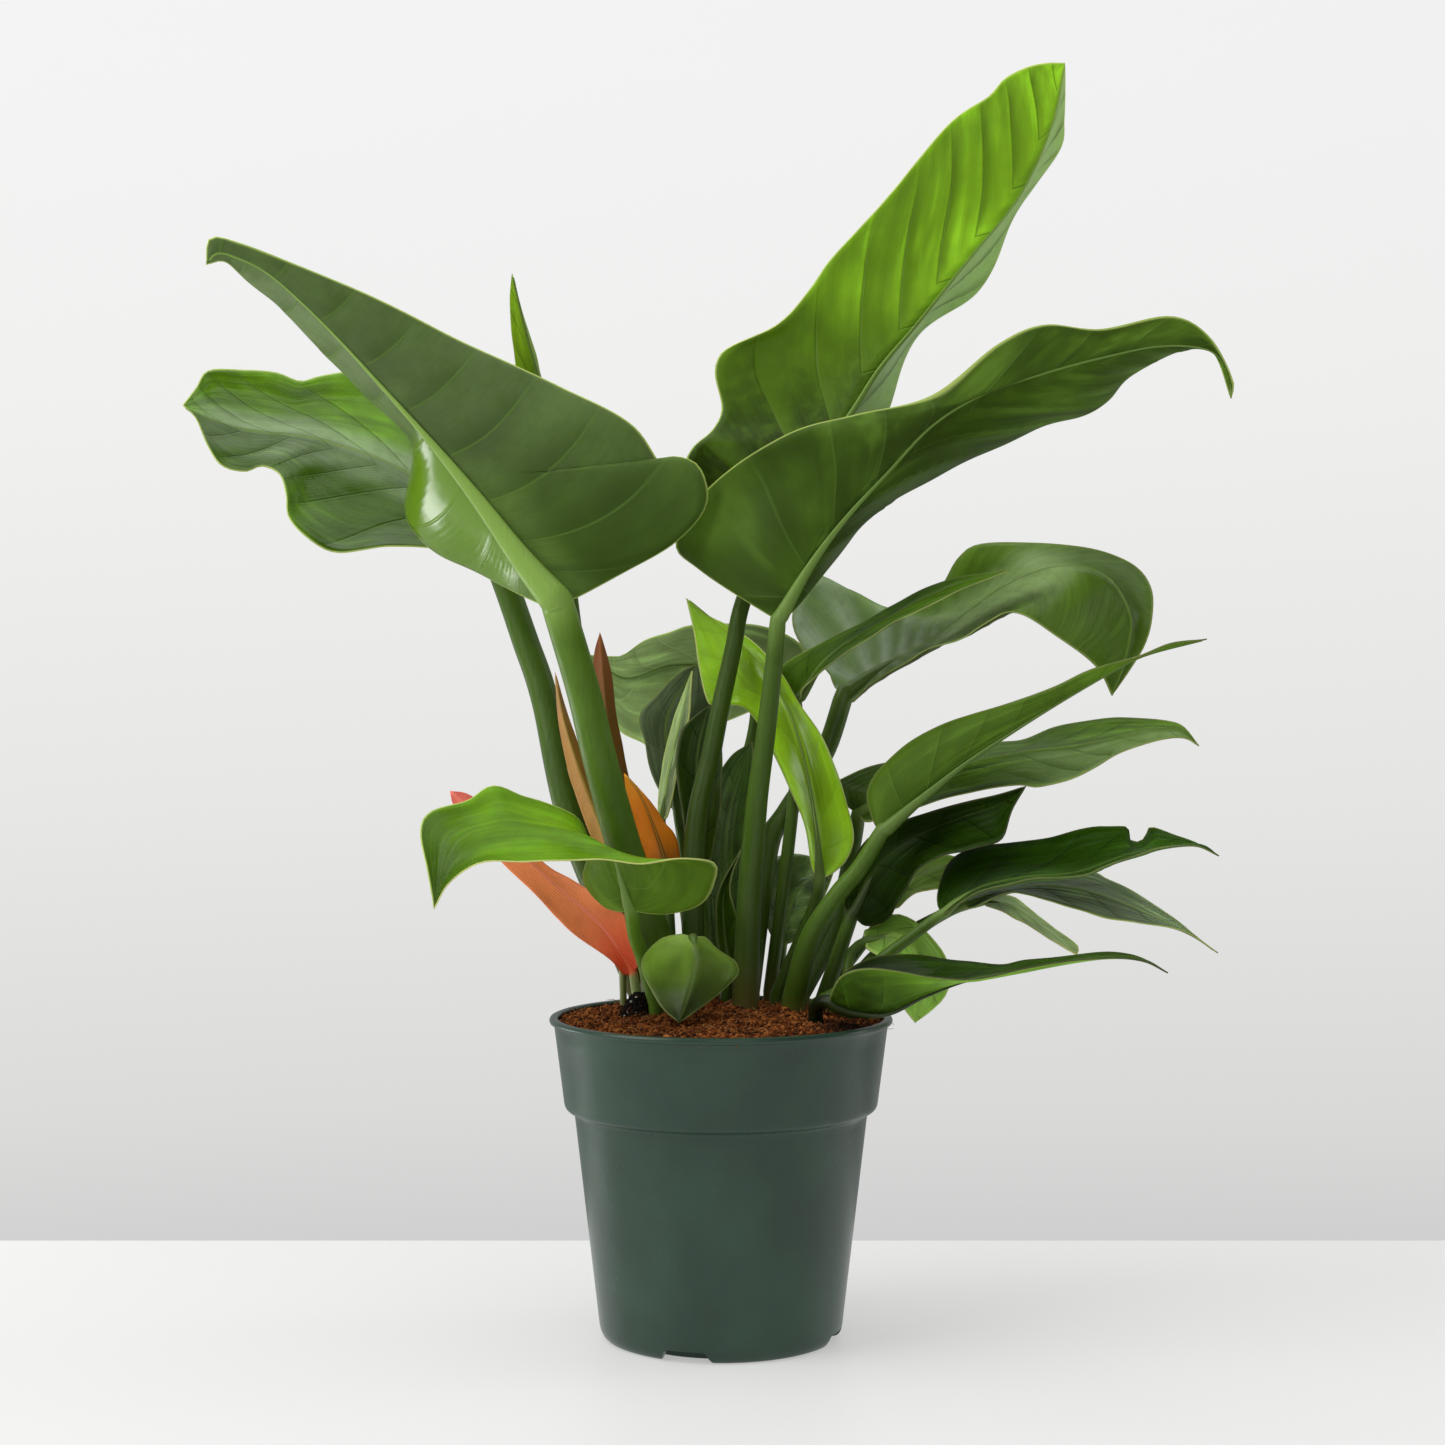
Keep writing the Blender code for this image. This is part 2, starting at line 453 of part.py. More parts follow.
def pot_floor(lift):
    """The floor's profile from its middle to the wall, lift mm above its underside."""
    middle = GROOVE_INNER - lift
    ridge = GROOVE_TOP + lift
    corner = pot_inner_radius(ridge + INNER_CORNER) - INNER_CORNER
    return [(0, lift), (middle, lift), (middle + GROOVE_SLANT, ridge), (corner, ridge)]


def make_pot(collection, cutters):
    inside = pot_floor(POT_WALL)
    wall_foot = GROOVE_TOP + POT_WALL + INNER_CORNER
    for level in (wall_foot, *(level for radius, level in reversed(BAND))):
        inside.append((pot_inner_radius(level), level))
    inside.append((inside[-1][0], LIP[2][1]))
    underside = [(GROOVE_OUTER, 0), (GROOVE_OUTER - GROOVE_SLANT, GROOVE_TOP),
                 (GROOVE_INNER + GROOVE_SLANT, GROOVE_TOP), (GROOVE_INNER, 0), (0, 0)]
    outside = [*LIP, *BAND, BODY_BOTTOM, *FOOT]
    pot = turned_object("nursery_pot", inside + outside + underside, collection)
    for angle in NOTCH_ANGLES:
        make_notch_cutter(math.radians(angle), cutters)
    cut_with(pot, cutters)
    apply_modifiers(pot)
    shade_round(pot.data, 35)
    pot.data.materials.append(material("pot_plastic", POT_GREEN, 0.45))
    return pot


def make_notch_cutter(angle, cutters):
    """A wedge across the foot ring, at an angle from the front, wider at the ground."""
    shape = bmesh.new()
    bmesh.ops.create_cube(shape, size=1)
    for vertex in shape.verts:
        at_top = vertex.co.z > 0
        vertex.co.x *= NOTCH_WIDTHS[at_top]
        vertex.co.y *= NOTCH_DEPTH
        vertex.co.z = NOTCH_HEIGHT if at_top else -2
        vertex.co *= MM
    mesh = bpy.data.meshes.new("drain_notch")
    shape.to_mesh(mesh)
    shape.free()
    cutter = new_object("drain_notch", mesh, cutters)
    cutter.location = Vector((math.sin(angle), -math.cos(angle), 0)) * NOTCH_RADIUS * MM
    cutter.rotation_euler = (0, 0, angle)
    hide_cutter(cutter)


def soil_height(x, y):
    """Height of the soil's top at a place, all in mm: a dome with a mound at the left crown."""
    wall = pot_inner_radius(SOIL_EDGE_HEIGHT)
    dome = SOIL_DOME * (1 - (x * x + y * y) / wall ** 2)
    away = ((x - MOUND_PLACE[0]) ** 2 + (y - MOUND_PLACE[1]) ** 2) / MOUND_SPREAD ** 2
    return SOIL_EDGE_HEIGHT + dome + SOIL_MOUND * math.exp(-away)


def make_soil(collection, cutters):
    gap = GAP / MM
    top = [(radius, SOIL_EDGE_HEIGHT) for radius in (0, *reversed(SOIL_RINGS))]
    side = []
    bottom = GROOVE_TOP + POT_WALL + gap + INNER_CORNER
    for level in (SOIL_EDGE_HEIGHT, *(level for radius, level in BAND[1:]), bottom):
        side.append((pot_inner_radius(level) - gap, level))
    soil = turned_object("soil", top + side + pot_floor(POT_WALL + gap)[::-1], collection)
    apply_modifiers(soil)
    for vertex in soil.data.vertices:
        if vertex.co.z > (SOIL_EDGE_HEIGHT - 1) * MM:
            vertex.co.z = soil_height(vertex.co.x / MM, vertex.co.y / MM) * MM
    for name, leaf in LEAVES.items():
        make_hole_cutter(name, leaf, cutters)
    cut_with(soil, cutters)
    apply_modifiers(soil)
    shade_round(soil.data, 40)
    soil.data.materials.append(material("soil", SOIL_BROWN, 0.95))
    return soil


def make_hole_cutter(name, leaf, cutters):
    """A round peg a little larger than the stalk's foot, which leaves a plain hole in the soil."""
    height = (PEG_TOP - PEG_BOTTOM + 8) * MM
    shape = bmesh.new()
    radius = leaf["radii"][0] * MM + GAP * 1.2
    bmesh.ops.create_cone(shape, segments=8, radius1=radius, radius2=radius, depth=height, cap_ends=True)
    mesh = bpy.data.meshes.new(f"hole_of_{name}")
    shape.to_mesh(mesh)
    shape.free()
    cutter = new_object(f"hole_of_{name}", mesh, cutters)
    x, y = leaf["root"]
    cutter.location = (x * MM, y * MM, PEG_BOTTOM * MM - GAP * 2 + height / 2)
    hide_cutter(cutter)


def leaf_lines(leaf):
    """Rows of (rib, left, right) points from the blade's base to its tip."""
    rib = [photo_point(*point) for point in leaf["rib"]]
    length = route_length(rib)
    count = max(FEWEST_ROWS, min(MOST_ROWS, round(length / (ROW_STEP * MM)))) + 1
    lines = [smooth_route(rib, count)]
    for side in ("left", "right"):
        margin = [rib[0], *(photo_point(*point) for point in leaf[side]), rib[-1]]
        lines.append(smooth_route(margin, count))
    return list(zip(*lines))


def row_normal(rows, index):
    """Direction out of the blade's upper side at a row."""
    index = max(1, min(len(rows) - 2, index))
    along = rows[index + 1][0] - rows[index - 1][0]
    across = rows[index][2] - rows[index][1]
    return across.cross(along).normalized()


def row_points(rows, index, half):
    """Points across one row, from the left margin over the midrib to the right margin."""
    rib, left, right = rows[index]
    normal = row_normal(rows, index)
    points = []
    for column in range(-half, half + 1):
        edge = left if column < 0 else right
        out = abs(column) / half
        sag = 2 * BLADE_CUP * out * (1 - out) * (edge - rib).length
        points.append(rib.lerp(edge, out) - normal * sag)
    return points


def blade_surface(name, rows):
    """The open surface between the three lines, in triangles, closed to a point at both ends."""
    widest = max((right - left).length for rib, left, right in rows)
    half = 3 if widest > WIDE_BLADE * MM else 2
    shape = bmesh.new()
    base = shape.verts.new(rows[0][0])
    lines = [[shape.verts.new(point) for point in row_points(rows, index, half)]
             for index in range(1, len(rows) - 1)]
    tip = shape.verts.new(rows[-1][0])
    for a, b in zip(lines[0], lines[0][1:]):
        shape.faces.new((base, b, a))
    for near, far in zip(lines, lines[1:]):
        for a, b, c, d in zip(near, near[1:], far[1:], far):
            shape.faces.new((a, b, c, d))
    for a, b in zip(lines[-1], lines[-1][1:]):
        shape.faces.new((a, b, tip))
    bmesh.ops.triangulate(shape, faces=shape.faces)
    mesh = bpy.data.meshes.new(name)
    shape.to_mesh(mesh)
    shape.free()
    return mesh


def stalk_line(leaf, rows):
    """Centre line and radii of the stalk, from its peg to where the midrib ends under the blade."""
    x, y = leaf["root"]
    peg_top = Vector((x, y, PEG_TOP)) * MM
    points = [peg_top, *(photo_point(*point) for point in leaf["stalk"]), rows[0][0]]
    count = max(3, round(route_length(points) / (STALK_STEP * MM)))
    free = smooth_route(points, count)
    line = [Vector((x, y, PEG_BOTTOM)) * MM, *free]
    radii = [leaf["radii"][0]]
    radii += [read_between(leaf["radii"], index / (count - 1)) for index in range(count)]
    last = max(2, round((len(rows) - 1) * RIB_REACH))
    for index in range(1, last + 1):
        radius = leaf["radii"][-1] + (RIB_TIP_RADIUS - leaf["radii"][-1]) * index / last
        line.append(rows[index][0] - row_normal(rows, index) * radius * RIB_SINK * MM)
        radii.append(radius)
    return line, radii


def tube_object(name, line, radii, collection):
    """A closed round bar along the line, eight-sided, as a mesh."""
    curve = bpy.data.curves.new(name, "CURVE")
    curve.dimensions = "3D"
    curve.bevel_depth = MM
    curve.bevel_resolution = 2
    curve.use_fill_caps = True
    spline = curve.splines.new("POLY")
    spline.points.add(len(line) - 1)
    for point, place, radius in zip(spline.points, line, radii):
        point.co = (*place, 1)
        point.radius = radius
    guide = new_object(name, curve, collection)
    shape = bmesh.new()
    shape.from_mesh(evaluated_mesh(guide))
    bmesh.ops.remove_doubles(shape, verts=shape.verts, dist=0.00001)
    bmesh.ops.triangulate(shape, faces=shape.faces)
    mesh = bpy.data.meshes.new(name)
    shape.to_mesh(mesh)
    shape.free()
    tube = new_object(name, mesh, collection)
    tube.matrix_world = guide.matrix_world
    bpy.data.objects.remove(guide)
    return tube


def make_leaf(name, leaf, collection):
    rows = leaf_lines(leaf)
    blade = new_object(name, blade_surface(name, rows), collection)
    shell = blade.modifiers.new("shell", "SOLIDIFY")
    shell.thickness = BLADE_THICKNESS * MM
    shell.offset = 0
    stalk = tube_object(f"{name}_stalk", *stalk_line(leaf, rows), collection)
    join = blade.modifiers.new("join", "BOOLEAN")
    join.operation = "UNION"
    join.object = stalk
    apply_modifiers(blade)
    bpy.data.objects.remove(stalk)
    shade_round(blade.data, 60)
    blade.data.materials.clear()
    blade.data.materials.append(material(name, leaf["shade"], 0.35))
    return blade


def new_collection(name):
    made = bpy.data.collections.new(name)
    bpy.context.scene.collection.children.link(made)
    return made


def main():
    for leftover in list(bpy.data.objects):
        bpy.data.objects.remove(leftover)
    plant = new_collection("green_princess_philodendron")
    make_pot(plant, new_collection("pot_cutters"))
    make_soil(plant, new_collection("soil_cutters"))
    for name, leaf in LEAVES.items():
        make_leaf(name, leaf, plant)


main()
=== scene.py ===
# %% [markdown]
# # A potted green princess philodendron
# The plant stands in a six inch nursery pot. It has heart shaped and arrow shaped leaves on long
# stalks, a few dried sheaths between them, and a pot filled with coco fibre. The plain solids are
# already made and packed, so this script loads them as a fixed frame, in metres, with the pot's
# foot on the ground at the origin. It then replaces each solid by a finer piece of the same form.

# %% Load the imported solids
import json
import math

import bmesh
import bpy
import numpy as np
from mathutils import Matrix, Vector, noise

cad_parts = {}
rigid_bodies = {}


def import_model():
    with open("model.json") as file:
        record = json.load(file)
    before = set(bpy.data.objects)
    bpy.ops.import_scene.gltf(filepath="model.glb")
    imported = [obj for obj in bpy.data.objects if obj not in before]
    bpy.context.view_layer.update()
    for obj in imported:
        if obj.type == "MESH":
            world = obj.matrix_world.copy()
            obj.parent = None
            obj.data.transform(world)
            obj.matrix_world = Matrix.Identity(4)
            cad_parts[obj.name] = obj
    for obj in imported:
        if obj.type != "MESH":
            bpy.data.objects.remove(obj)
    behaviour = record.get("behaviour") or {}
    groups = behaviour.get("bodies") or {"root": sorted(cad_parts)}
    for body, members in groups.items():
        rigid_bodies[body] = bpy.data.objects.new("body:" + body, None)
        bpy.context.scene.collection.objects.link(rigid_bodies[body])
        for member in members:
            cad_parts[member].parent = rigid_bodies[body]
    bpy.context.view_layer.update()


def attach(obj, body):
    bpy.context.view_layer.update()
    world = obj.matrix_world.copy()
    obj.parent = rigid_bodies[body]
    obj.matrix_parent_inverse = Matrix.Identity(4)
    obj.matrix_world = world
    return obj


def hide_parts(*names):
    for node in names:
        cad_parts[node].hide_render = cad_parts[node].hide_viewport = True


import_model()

MM = 0.001

# %% [markdown]
# ## Small helpers for pieces
# Every leaf, lamp and construction line is some data that an object puts in the scene. The helpers
# here do that in one step each, so that the cells further down show only the shapes themselves.

# %% Helpers for objects and meshes
def add_object(name, data):
    """A new object in the scene that shows the data."""
    made = bpy.data.objects.new(name, data)
    bpy.context.scene.collection.objects.link(made)
    return made


def new_mesh(name, points, edges=(), faces=()):
    mesh = bpy.data.meshes.new(name)
    mesh.from_pydata(points, edges, faces)
    return mesh


def chain_mesh(name, points):
    """A mesh that is one line through the points, for a path or a profile."""
    return new_mesh(name, points, [(index, index + 1) for index in range(len(points) - 1)])


def mesh_of(name, shape):
    """The mesh of a shape under construction, which is let go afterwards."""
    mesh = bpy.data.meshes.new(name)
    shape.to_mesh(mesh)
    shape.free()
    return mesh


def worked_mesh(made):
    """A plain mesh of the object as its modifiers leave it."""
    graph = bpy.context.evaluated_depsgraph_get()
    return bpy.data.meshes.new_from_object(made.evaluated_get(graph))


# %% [markdown]
# ## The camera
# The picture was taken from the front with a long lens, level with the lower leaves, and it looks
# down by about one degree. The focal length is given in pixels of a picture 1445 pixels wide,
# because the leaves' points are read from the same picture further down.

# %% Camera
IMAGE_SIDE = 1445
FOCAL_PIXELS = 2667
MIDDLE_ACROSS = 721
MIDDLE_DOWN = 722.5
EYE = np.array((0.0, -1205.0, 300.0))
LOOK_DOWN = math.radians(1.06)
SENSOR_WIDTH = 36
NEAREST_SEEN = 0.05

lens = bpy.data.cameras.new("viewpoint")
lens.sensor_width = SENSOR_WIDTH
lens.lens = SENSOR_WIDTH * FOCAL_PIXELS / IMAGE_SIDE
lens.shift_x = (IMAGE_SIDE / 2 - MIDDLE_ACROSS) / IMAGE_SIDE
lens.clip_start = NEAREST_SEEN
camera = add_object("viewpoint", lens)
camera.location = EYE * MM
camera.rotation_euler = (math.pi / 2 - LOOK_DOWN, 0, 0)
bpy.context.scene.camera = camera
print("lens", round(lens.lens, 2), "mm")

# %% [markdown]
# ## Small helpers for node trees
# Every finish and every light needs a few nodes. One helper makes a node, sets its options, and
# either links or sets each input. The others name the steps that come back in every finish.

# %% Node helpers
def put(tree, made, key, value):
    """Links an input of a node to a socket, or sets it to a value."""
    if isinstance(value, bpy.types.NodeSocket):
        tree.links.new(value, made.inputs[key])
    else:
        made.inputs[key].default_value = value


def add_node(tree, kind, inputs=None, **settings):
    """A new node, with each input either linked to a socket or set to a value."""
    made = tree.nodes.new(kind)
    for name, value in settings.items():
        setattr(made, name, value)
    for key, value in (inputs or {}).items():
        put(tree, made, key, value)
    return made


def calculate(tree, operation, first, second=0.0, third=0.0):
    made = add_node(tree, "ShaderNodeMath", {0: first, 1: second, 2: third}, operation=operation)
    return made.outputs[0]


def product(tree, first, *others):
    """The first value times all the others."""
    for other in others:
        first = calculate(tree, "MULTIPLY", first, other)
    return first


def fade(tree, value, start, end, low=0.0, high=1.0):
    """Goes smoothly from low to high while the value goes from start to end."""
    made = add_node(tree, "ShaderNodeMapRange", {0: value, 1: start, 2: end, 3: low, 4: high},
                    interpolation_type="SMOOTHSTEP")
    return made.outputs[0]


def tint(tree, share, under, over):
    """The colour under, covered by the colour over as far as the share says."""
    made = add_node(tree, "ShaderNodeMix", {0: share, 6: under, 7: over}, data_type="RGBA")
    return made.outputs[2]


# %% Noise, relief and colours
NOISE_SPAN = (0.3, 0.7)  # noise seldom leaves this span


def blotches(tree, scale, detail=2.0, stretched=(1, 1, 1)):
    """Soft uneven noise on the piece's own place in metres."""
    place = add_node(tree, "ShaderNodeTexCoord").outputs["Object"]
    place = add_node(tree, "ShaderNodeMapping", {"Vector": place, "Scale": stretched}).outputs[0]
    made = add_node(tree, "ShaderNodeTexNoise", {"Vector": place, "Scale": scale, "Detail": detail})
    return made.outputs[0]


def relief(tree, shader, height, depth):
    """Raises the shaded surface where the height is near one, by the depth in metres."""
    bump = add_node(tree, "ShaderNodeBump", {"Height": height, "Distance": depth, "Strength": 1.0})
    tree.links.new(bump.outputs[0], shader.inputs["Normal"])


def new_finish(name):
    made = bpy.data.materials.new(name)
    made.use_nodes = True
    return made, made.node_tree, made.node_tree.nodes["Principled BSDF"]


def dress(tree, shader, colour, roughness, shine):
    """Gives a finish its colour, its roughness and the strength of its reflections."""
    for key, value in (("Base Color", colour), ("Roughness", roughness), ("Specular IOR Level", shine)):
        put(tree, shader, key, value)


def linear(red, green, blue):
    """A colour given as it is seen on screen, 0 to 255, as the renderer wants it."""
    return (*(round((channel / 255) ** 2.2, 5) for channel in (red, green, blue)), 1.0)


# %% [markdown]
# ## Floor, background and light
# The plant stands on a pale sheet that ends just behind the pot, before a pale wall. The floor is
# a plane, and the wall is the world itself, a little lighter towards the top, so that nothing
# hides the plant when it is seen from behind. The sheet glows a little, which keeps its tone even
# and its shadows as soft as those on paper under wide studio lights.

# %% Floor
FLOOR_BACK = 0.2
FLOOR_FRONT = -2.6
FLOOR_HALF_WIDTH = 2.4
PAPER_GREY = linear(176, 176, 175)
PAPER_ROUGHNESS = 0.42
PAPER_SHINE = 0.3
PAPER_GLOW = {"Emission Color": (1, 1, 0.99, 1), "Emission Strength": 0.42}
PAPER_GRAIN = 900
PAPER_RELIEF = 0.00002

corners = [(-FLOOR_HALF_WIDTH, FLOOR_FRONT, 0), (FLOOR_HALF_WIDTH, FLOOR_FRONT, 0),
           (FLOOR_HALF_WIDTH, FLOOR_BACK, 0), (-FLOOR_HALF_WIDTH, FLOOR_BACK, 0)]
floor = add_object("floor", new_mesh("floor", corners, faces=[(0, 1, 2, 3)]))
paper, tree, shader = new_finish("pale_paper")
dress(tree, shader, PAPER_GREY, PAPER_ROUGHNESS, PAPER_SHINE)
for key, value in PAPER_GLOW.items():
    put(tree, shader, key, value)
relief(tree, shader, blotches(tree, PAPER_GRAIN), PAPER_RELIEF)
floor.data.materials.append(paper)
print("floor ends", FLOOR_BACK, "m behind the pot's middle")

# %% [markdown]
# ## Wall and light from the room
# The camera sees the plain wall in every direction, so the plant has the same background from all
# sides. The leaves are lit by another, darker world: the wall behind the plant is bright and the
# room in front of it is dim, which keeps the deep greens deep.

# %% Wall colour
WALL_TONES = {-0.22: 203, -0.16: 217, -0.05: 229, 0.1: 239, 0.22: 242}
WALL_SIDE_FALL = 0.05

world = bpy.data.worlds.new("studio")
world.use_nodes = True
bpy.context.scene.world = world
sky = world.node_tree
direction = add_node(sky, "ShaderNodeTexCoord").outputs["Generated"]
parts = add_node(sky, "ShaderNodeSeparateXYZ", {0: direction})
lowest, highest = min(WALL_TONES), max(WALL_TONES)
ramp = add_node(sky, "ShaderNodeValToRGB")
stops = ramp.color_ramp.elements
stops[0].color, stops[-1].color = (linear(*[WALL_TONES[level]] * 3) for level in (lowest, highest))
for level, tone in list(WALL_TONES.items())[1:-1]:
    stops.new((level - lowest) / (highest - lowest)).color = linear(tone, tone, tone - 1)
rise = add_node(sky, "ShaderNodeMapRange", {0: parts.outputs["Z"], 1: lowest, 2: highest})
sky.links.new(rise.outputs[0], ramp.inputs[0])
side = calculate(sky, "MULTIPLY_ADD", parts.outputs["X"], -WALL_SIDE_FALL, 1.0)
shown = add_node(sky, "ShaderNodeBackground", {"Color": ramp.outputs[0], "Strength": side})

# %% Light that comes from the room
WALL_LIGHT = 0.37
ROOM_LIGHT = 0.11
ROOM_TO_WALL = (-0.25, 0.45)

behind = fade(sky, parts.outputs["Y"], *ROOM_TO_WALL, ROOM_LIGHT, WALL_LIGHT)
lit = add_node(sky, "ShaderNodeBackground", {"Color": (1, 1, 1, 1), "Strength": behind})
which = add_node(sky, "ShaderNodeLightPath").outputs["Is Camera Ray"]
both = add_node(sky, "ShaderNodeMixShader", {0: which, 1: lit.outputs[0], 2: shown.outputs[0]})
sky.links.new(both.outputs[0], sky.nodes["World Output"].inputs[0])

# %% [markdown]
# ## Lamps
# Wide lamps give the soft light of a studio: a window on the left, a large lamp overhead, and weak
# ones on the right and in front. A small card low on the left is there for its reflection, which
# brightens the lower side of the tall left leaf.

# %% Lamps
LAMPS = {
    "window": dict(place=(-1.5, -0.75, 1.25), aim=(0, 0, 0.3), size=(1.3, 1.6), watts=22),
    "low_card": dict(place=(-0.66, 0.3, 0.08), aim=(-0.11, 0, 0.44), size=(0.26, 0.16), watts=0.8),
    "overhead": dict(place=(-0.1, -0.1, 1.9), aim=(0, 0, 0.2), size=(2.2, 1.9), watts=25),
    "right": dict(place=(1.6, 0.35, 0.7), aim=(0, 0, 0.2), size=(0.4, 1.4), watts=4),
    "front": dict(place=(0.3, -2.2, 1.1), aim=(0, 0, 0.25), size=(1.4, 1.0), watts=6),
}
for name, lamp in LAMPS.items():
    light = bpy.data.lights.new(name, "AREA")
    light.shape = "RECTANGLE"
    light.size, light.size_y = lamp["size"]
    light.energy = lamp["watts"]
    made = add_object(name, light)
    made.location = lamp["place"]
    reach = Vector(lamp["aim"]) - Vector(lamp["place"])
    made.rotation_euler = reach.to_track_quat("-Z", "Y").to_euler()
bpy.context.scene.view_settings.view_transform = "Standard"
print("lamps:", ", ".join(LAMPS))

# %% [markdown]
# ## Reading places from the picture
# Each leaf is described by a few chosen points. A point is the pixel where it is seen and its
# depth in millimetres behind the pot's axis. The first helper below turns such points into places
# in the world, by following the line of sight. The second draws a smooth curve through points and
# walks along it in equal steps, as a draughtsman's spline does.

# %% From pixels to places
def seen_at(points):
    """World places in metres of rows of (across, down, depth)."""
    across, down, depth = np.array(points, float).reshape(-1, 3).T
    rightward = (across - MIDDLE_ACROSS) / FOCAL_PIXELS
    upward = (MIDDLE_DOWN - down) / FOCAL_PIXELS
    forward = math.cos(LOOK_DOWN) + upward * math.sin(LOOK_DOWN)
    rise = upward * math.cos(LOOK_DOWN) - math.sin(LOOK_DOWN)
    reach = (depth - EYE[1]) / forward
    return (EYE + np.column_stack((rightward, forward, rise)) * reach[:, None]) * MM


# %% Smooth lines
STEPS_A_SPAN = 16


def travelled(line):
    """Distance along a line at each of its points."""
    return np.concatenate(((0.0,), np.cumsum(np.linalg.norm(np.diff(line, axis=0), axis=1))))


def smooth_line(points, count):
    """Evenly spaced stations on a smooth curve that passes through the points."""
    knots = np.vstack((points[0] * 2 - points[1], points, points[-1] * 2 - points[-2]))
    t = np.arange(STEPS_A_SPAN)[:, None] / STEPS_A_SPAN
    spans = []
    for a, b, c, d in zip(knots, knots[1:], knots[2:], knots[3:]):
        bend = (c - a) * t + (a * 2 - b * 5 + c * 4 - d) * t ** 2 + (b * 3 - a - c * 3 + d) * t ** 3
        spans.append(b + bend * 0.5)
    line = np.vstack((*spans, points[-1:]))
    reach = travelled(line)
    places = np.linspace(0, reach[-1], count)
    return np.column_stack([np.interp(places, reach, line[:, axis]) for axis in range(3)])


print("one pixel at the pot's axis is", round(-EYE[1] / FOCAL_PIXELS, 3), "mm")

# %% [markdown]
# ## The leaves' lines
# For each leaf and sheath: the place of its foot in the soil and the stalk's radii, in mm, then
# chosen points along the stalk, the midrib and the two margins, each as (across, down, depth).
# Left and right are as seen on the blade's upper side, looking from its base to its tip. The
# plain solids were made from the same points, so the finer leaves lie where they do. Two leaves
# were corrected later and differ a little from their solids: the low left leaf in its back margin,
# and the lowest right leaf in its stalk and the base of its blade.

# %% Leaves of the left crown
LEAVES = {
    "tall_left_leaf": dict(
        slot="mid_green_leaf", root=(-28, 9), radii=(9.5, 9, 8, 7.8, 7.6, 7.5),
        stalk=[(658, 962, 9), (622, 840, 3), (600, 760, -4), (583, 690, -8)],
        rib=[(557, 602, -10), (520, 555, -11), (475, 495, -14), (430, 440, -18), (380, 384, -26),
             (322, 322, -36), (270, 275, -46), (235, 257, -54), (216, 254, -60), (206, 265, -62)],
        left=[(572, 600, -8), (625, 572, 0), (677, 541, 6), (706, 505, 10), (700, 468, 8), (677, 456, 4),
              (664, 466, 2), (632, 425, -2), (562, 388, -8), (518, 367, -12), (440, 330, -20),
              (362, 292, -32), (290, 262, -44), (240, 243, -54), (210, 238, -60)],
        right=[(540, 604, -6), (485, 576, 22), (440, 556, 34), (416, 535, 38), (405, 512, 40),
               (412, 480, 42), (421, 447, 44), (400, 425, 40), (360, 388, 28), (300, 326, 6),
               (250, 283, -30), (225, 262, -55)]),
    "rear_left_leaf": dict(
        slot="deep_green_leaf", root=(-36, 32), radii=(7, 7, 6.5, 6),
        stalk=[(575, 830, 42), (545, 700, 56), (525, 640, 62), (507, 588, 66)],
        rib=[(490, 545, 70), (455, 503, 74), (417, 478, 77), (380, 459, 78), (342, 446, 78), (304, 436, 74),
             (246, 430, 66), (195, 413, 56), (183, 405, 52)],
        left=[(478, 556, 66), (430, 548, 56), (392, 547, 50), (362, 550, 46), (329, 549, 44),
              (303, 536, 44), (288, 517, 46), (286, 495, 50), (280, 474, 58), (262, 466, 62),
              (245, 472, 58), (222, 466, 54), (208, 446, 54), (196, 418, 54)],
        right=[(495, 530, 78), (500, 470, 95), (480, 420, 105), (430, 385, 108), (390, 372, 106),
               (352, 371, 102), (320, 376, 98), (300, 381, 94), (277, 373, 92), (246, 370, 86),
               (209, 370, 76), (196, 388, 64)]),
    "furled_left_leaf": dict(
        slot="mid_green_leaf", root=(-20, 32), radii=(3.5, 3, 2.5),
        stalk=[(630, 880, 40), (600, 780, 46), (575, 620, 52)],
        rib=[(560, 470, 52), (541, 390, 50), (524, 325, 46), (512, 273, 42)],
        left=[(548, 462, 60), (522, 400, 62), (514, 350, 58), (510, 305, 50)],
        right=[(568, 462, 58), (548, 400, 60), (534, 350, 58), (520, 305, 50)]),
    "low_left_leaf": dict(
        slot="mid_green_leaf", root=(-29, -9), radii=(3.6, 3.4, 3.2),
        stalk=[(643, 958, -11), (635, 935, -16)],
        rib=[(631, 908, -24), (622, 880, -30), (612, 855, -36), (585, 835, -42), (540, 826, -47),
             (495, 825, -52), (455, 845, -57), (434, 909, -62)],
        left=[(640, 912, -26), (670, 914, -30), (700, 904, -34), (714, 884, -40), (712, 862, -46),
              (650, 861, -58), (582, 861, -68), (530, 861, -72), (484, 862, -72), (450, 882, -68)],
        right=[(622, 912, -20), (602, 905, -12), (584, 880, -8), (588, 848, -11), (578, 818, -12),
               (545, 802, -13), (520, 795, -17), (491, 787, -23), (467, 800, -31), (430, 812, -42),
               (420, 832, -50), (427, 870, -58)]),
    "small_front_leaf": dict(
        slot="mid_green_leaf", root=(-17, -6), radii=(3, 2.6, 2.2),
        stalk=[(690, 960, -12)],
        rib=[(693, 938, -20), (697, 955, -34), (692, 985, -42), (679, 1023, -44)],
        left=[(705, 937, -18), (719, 951, -20), (735, 961, -23), (739, 972, -27), (730, 984, -32),
              (705, 1005, -40)],
        right=[(680, 934, -18), (656, 942, -19), (641, 964, -25), (649, 986, -34), (662, 1008, -41)]),
}

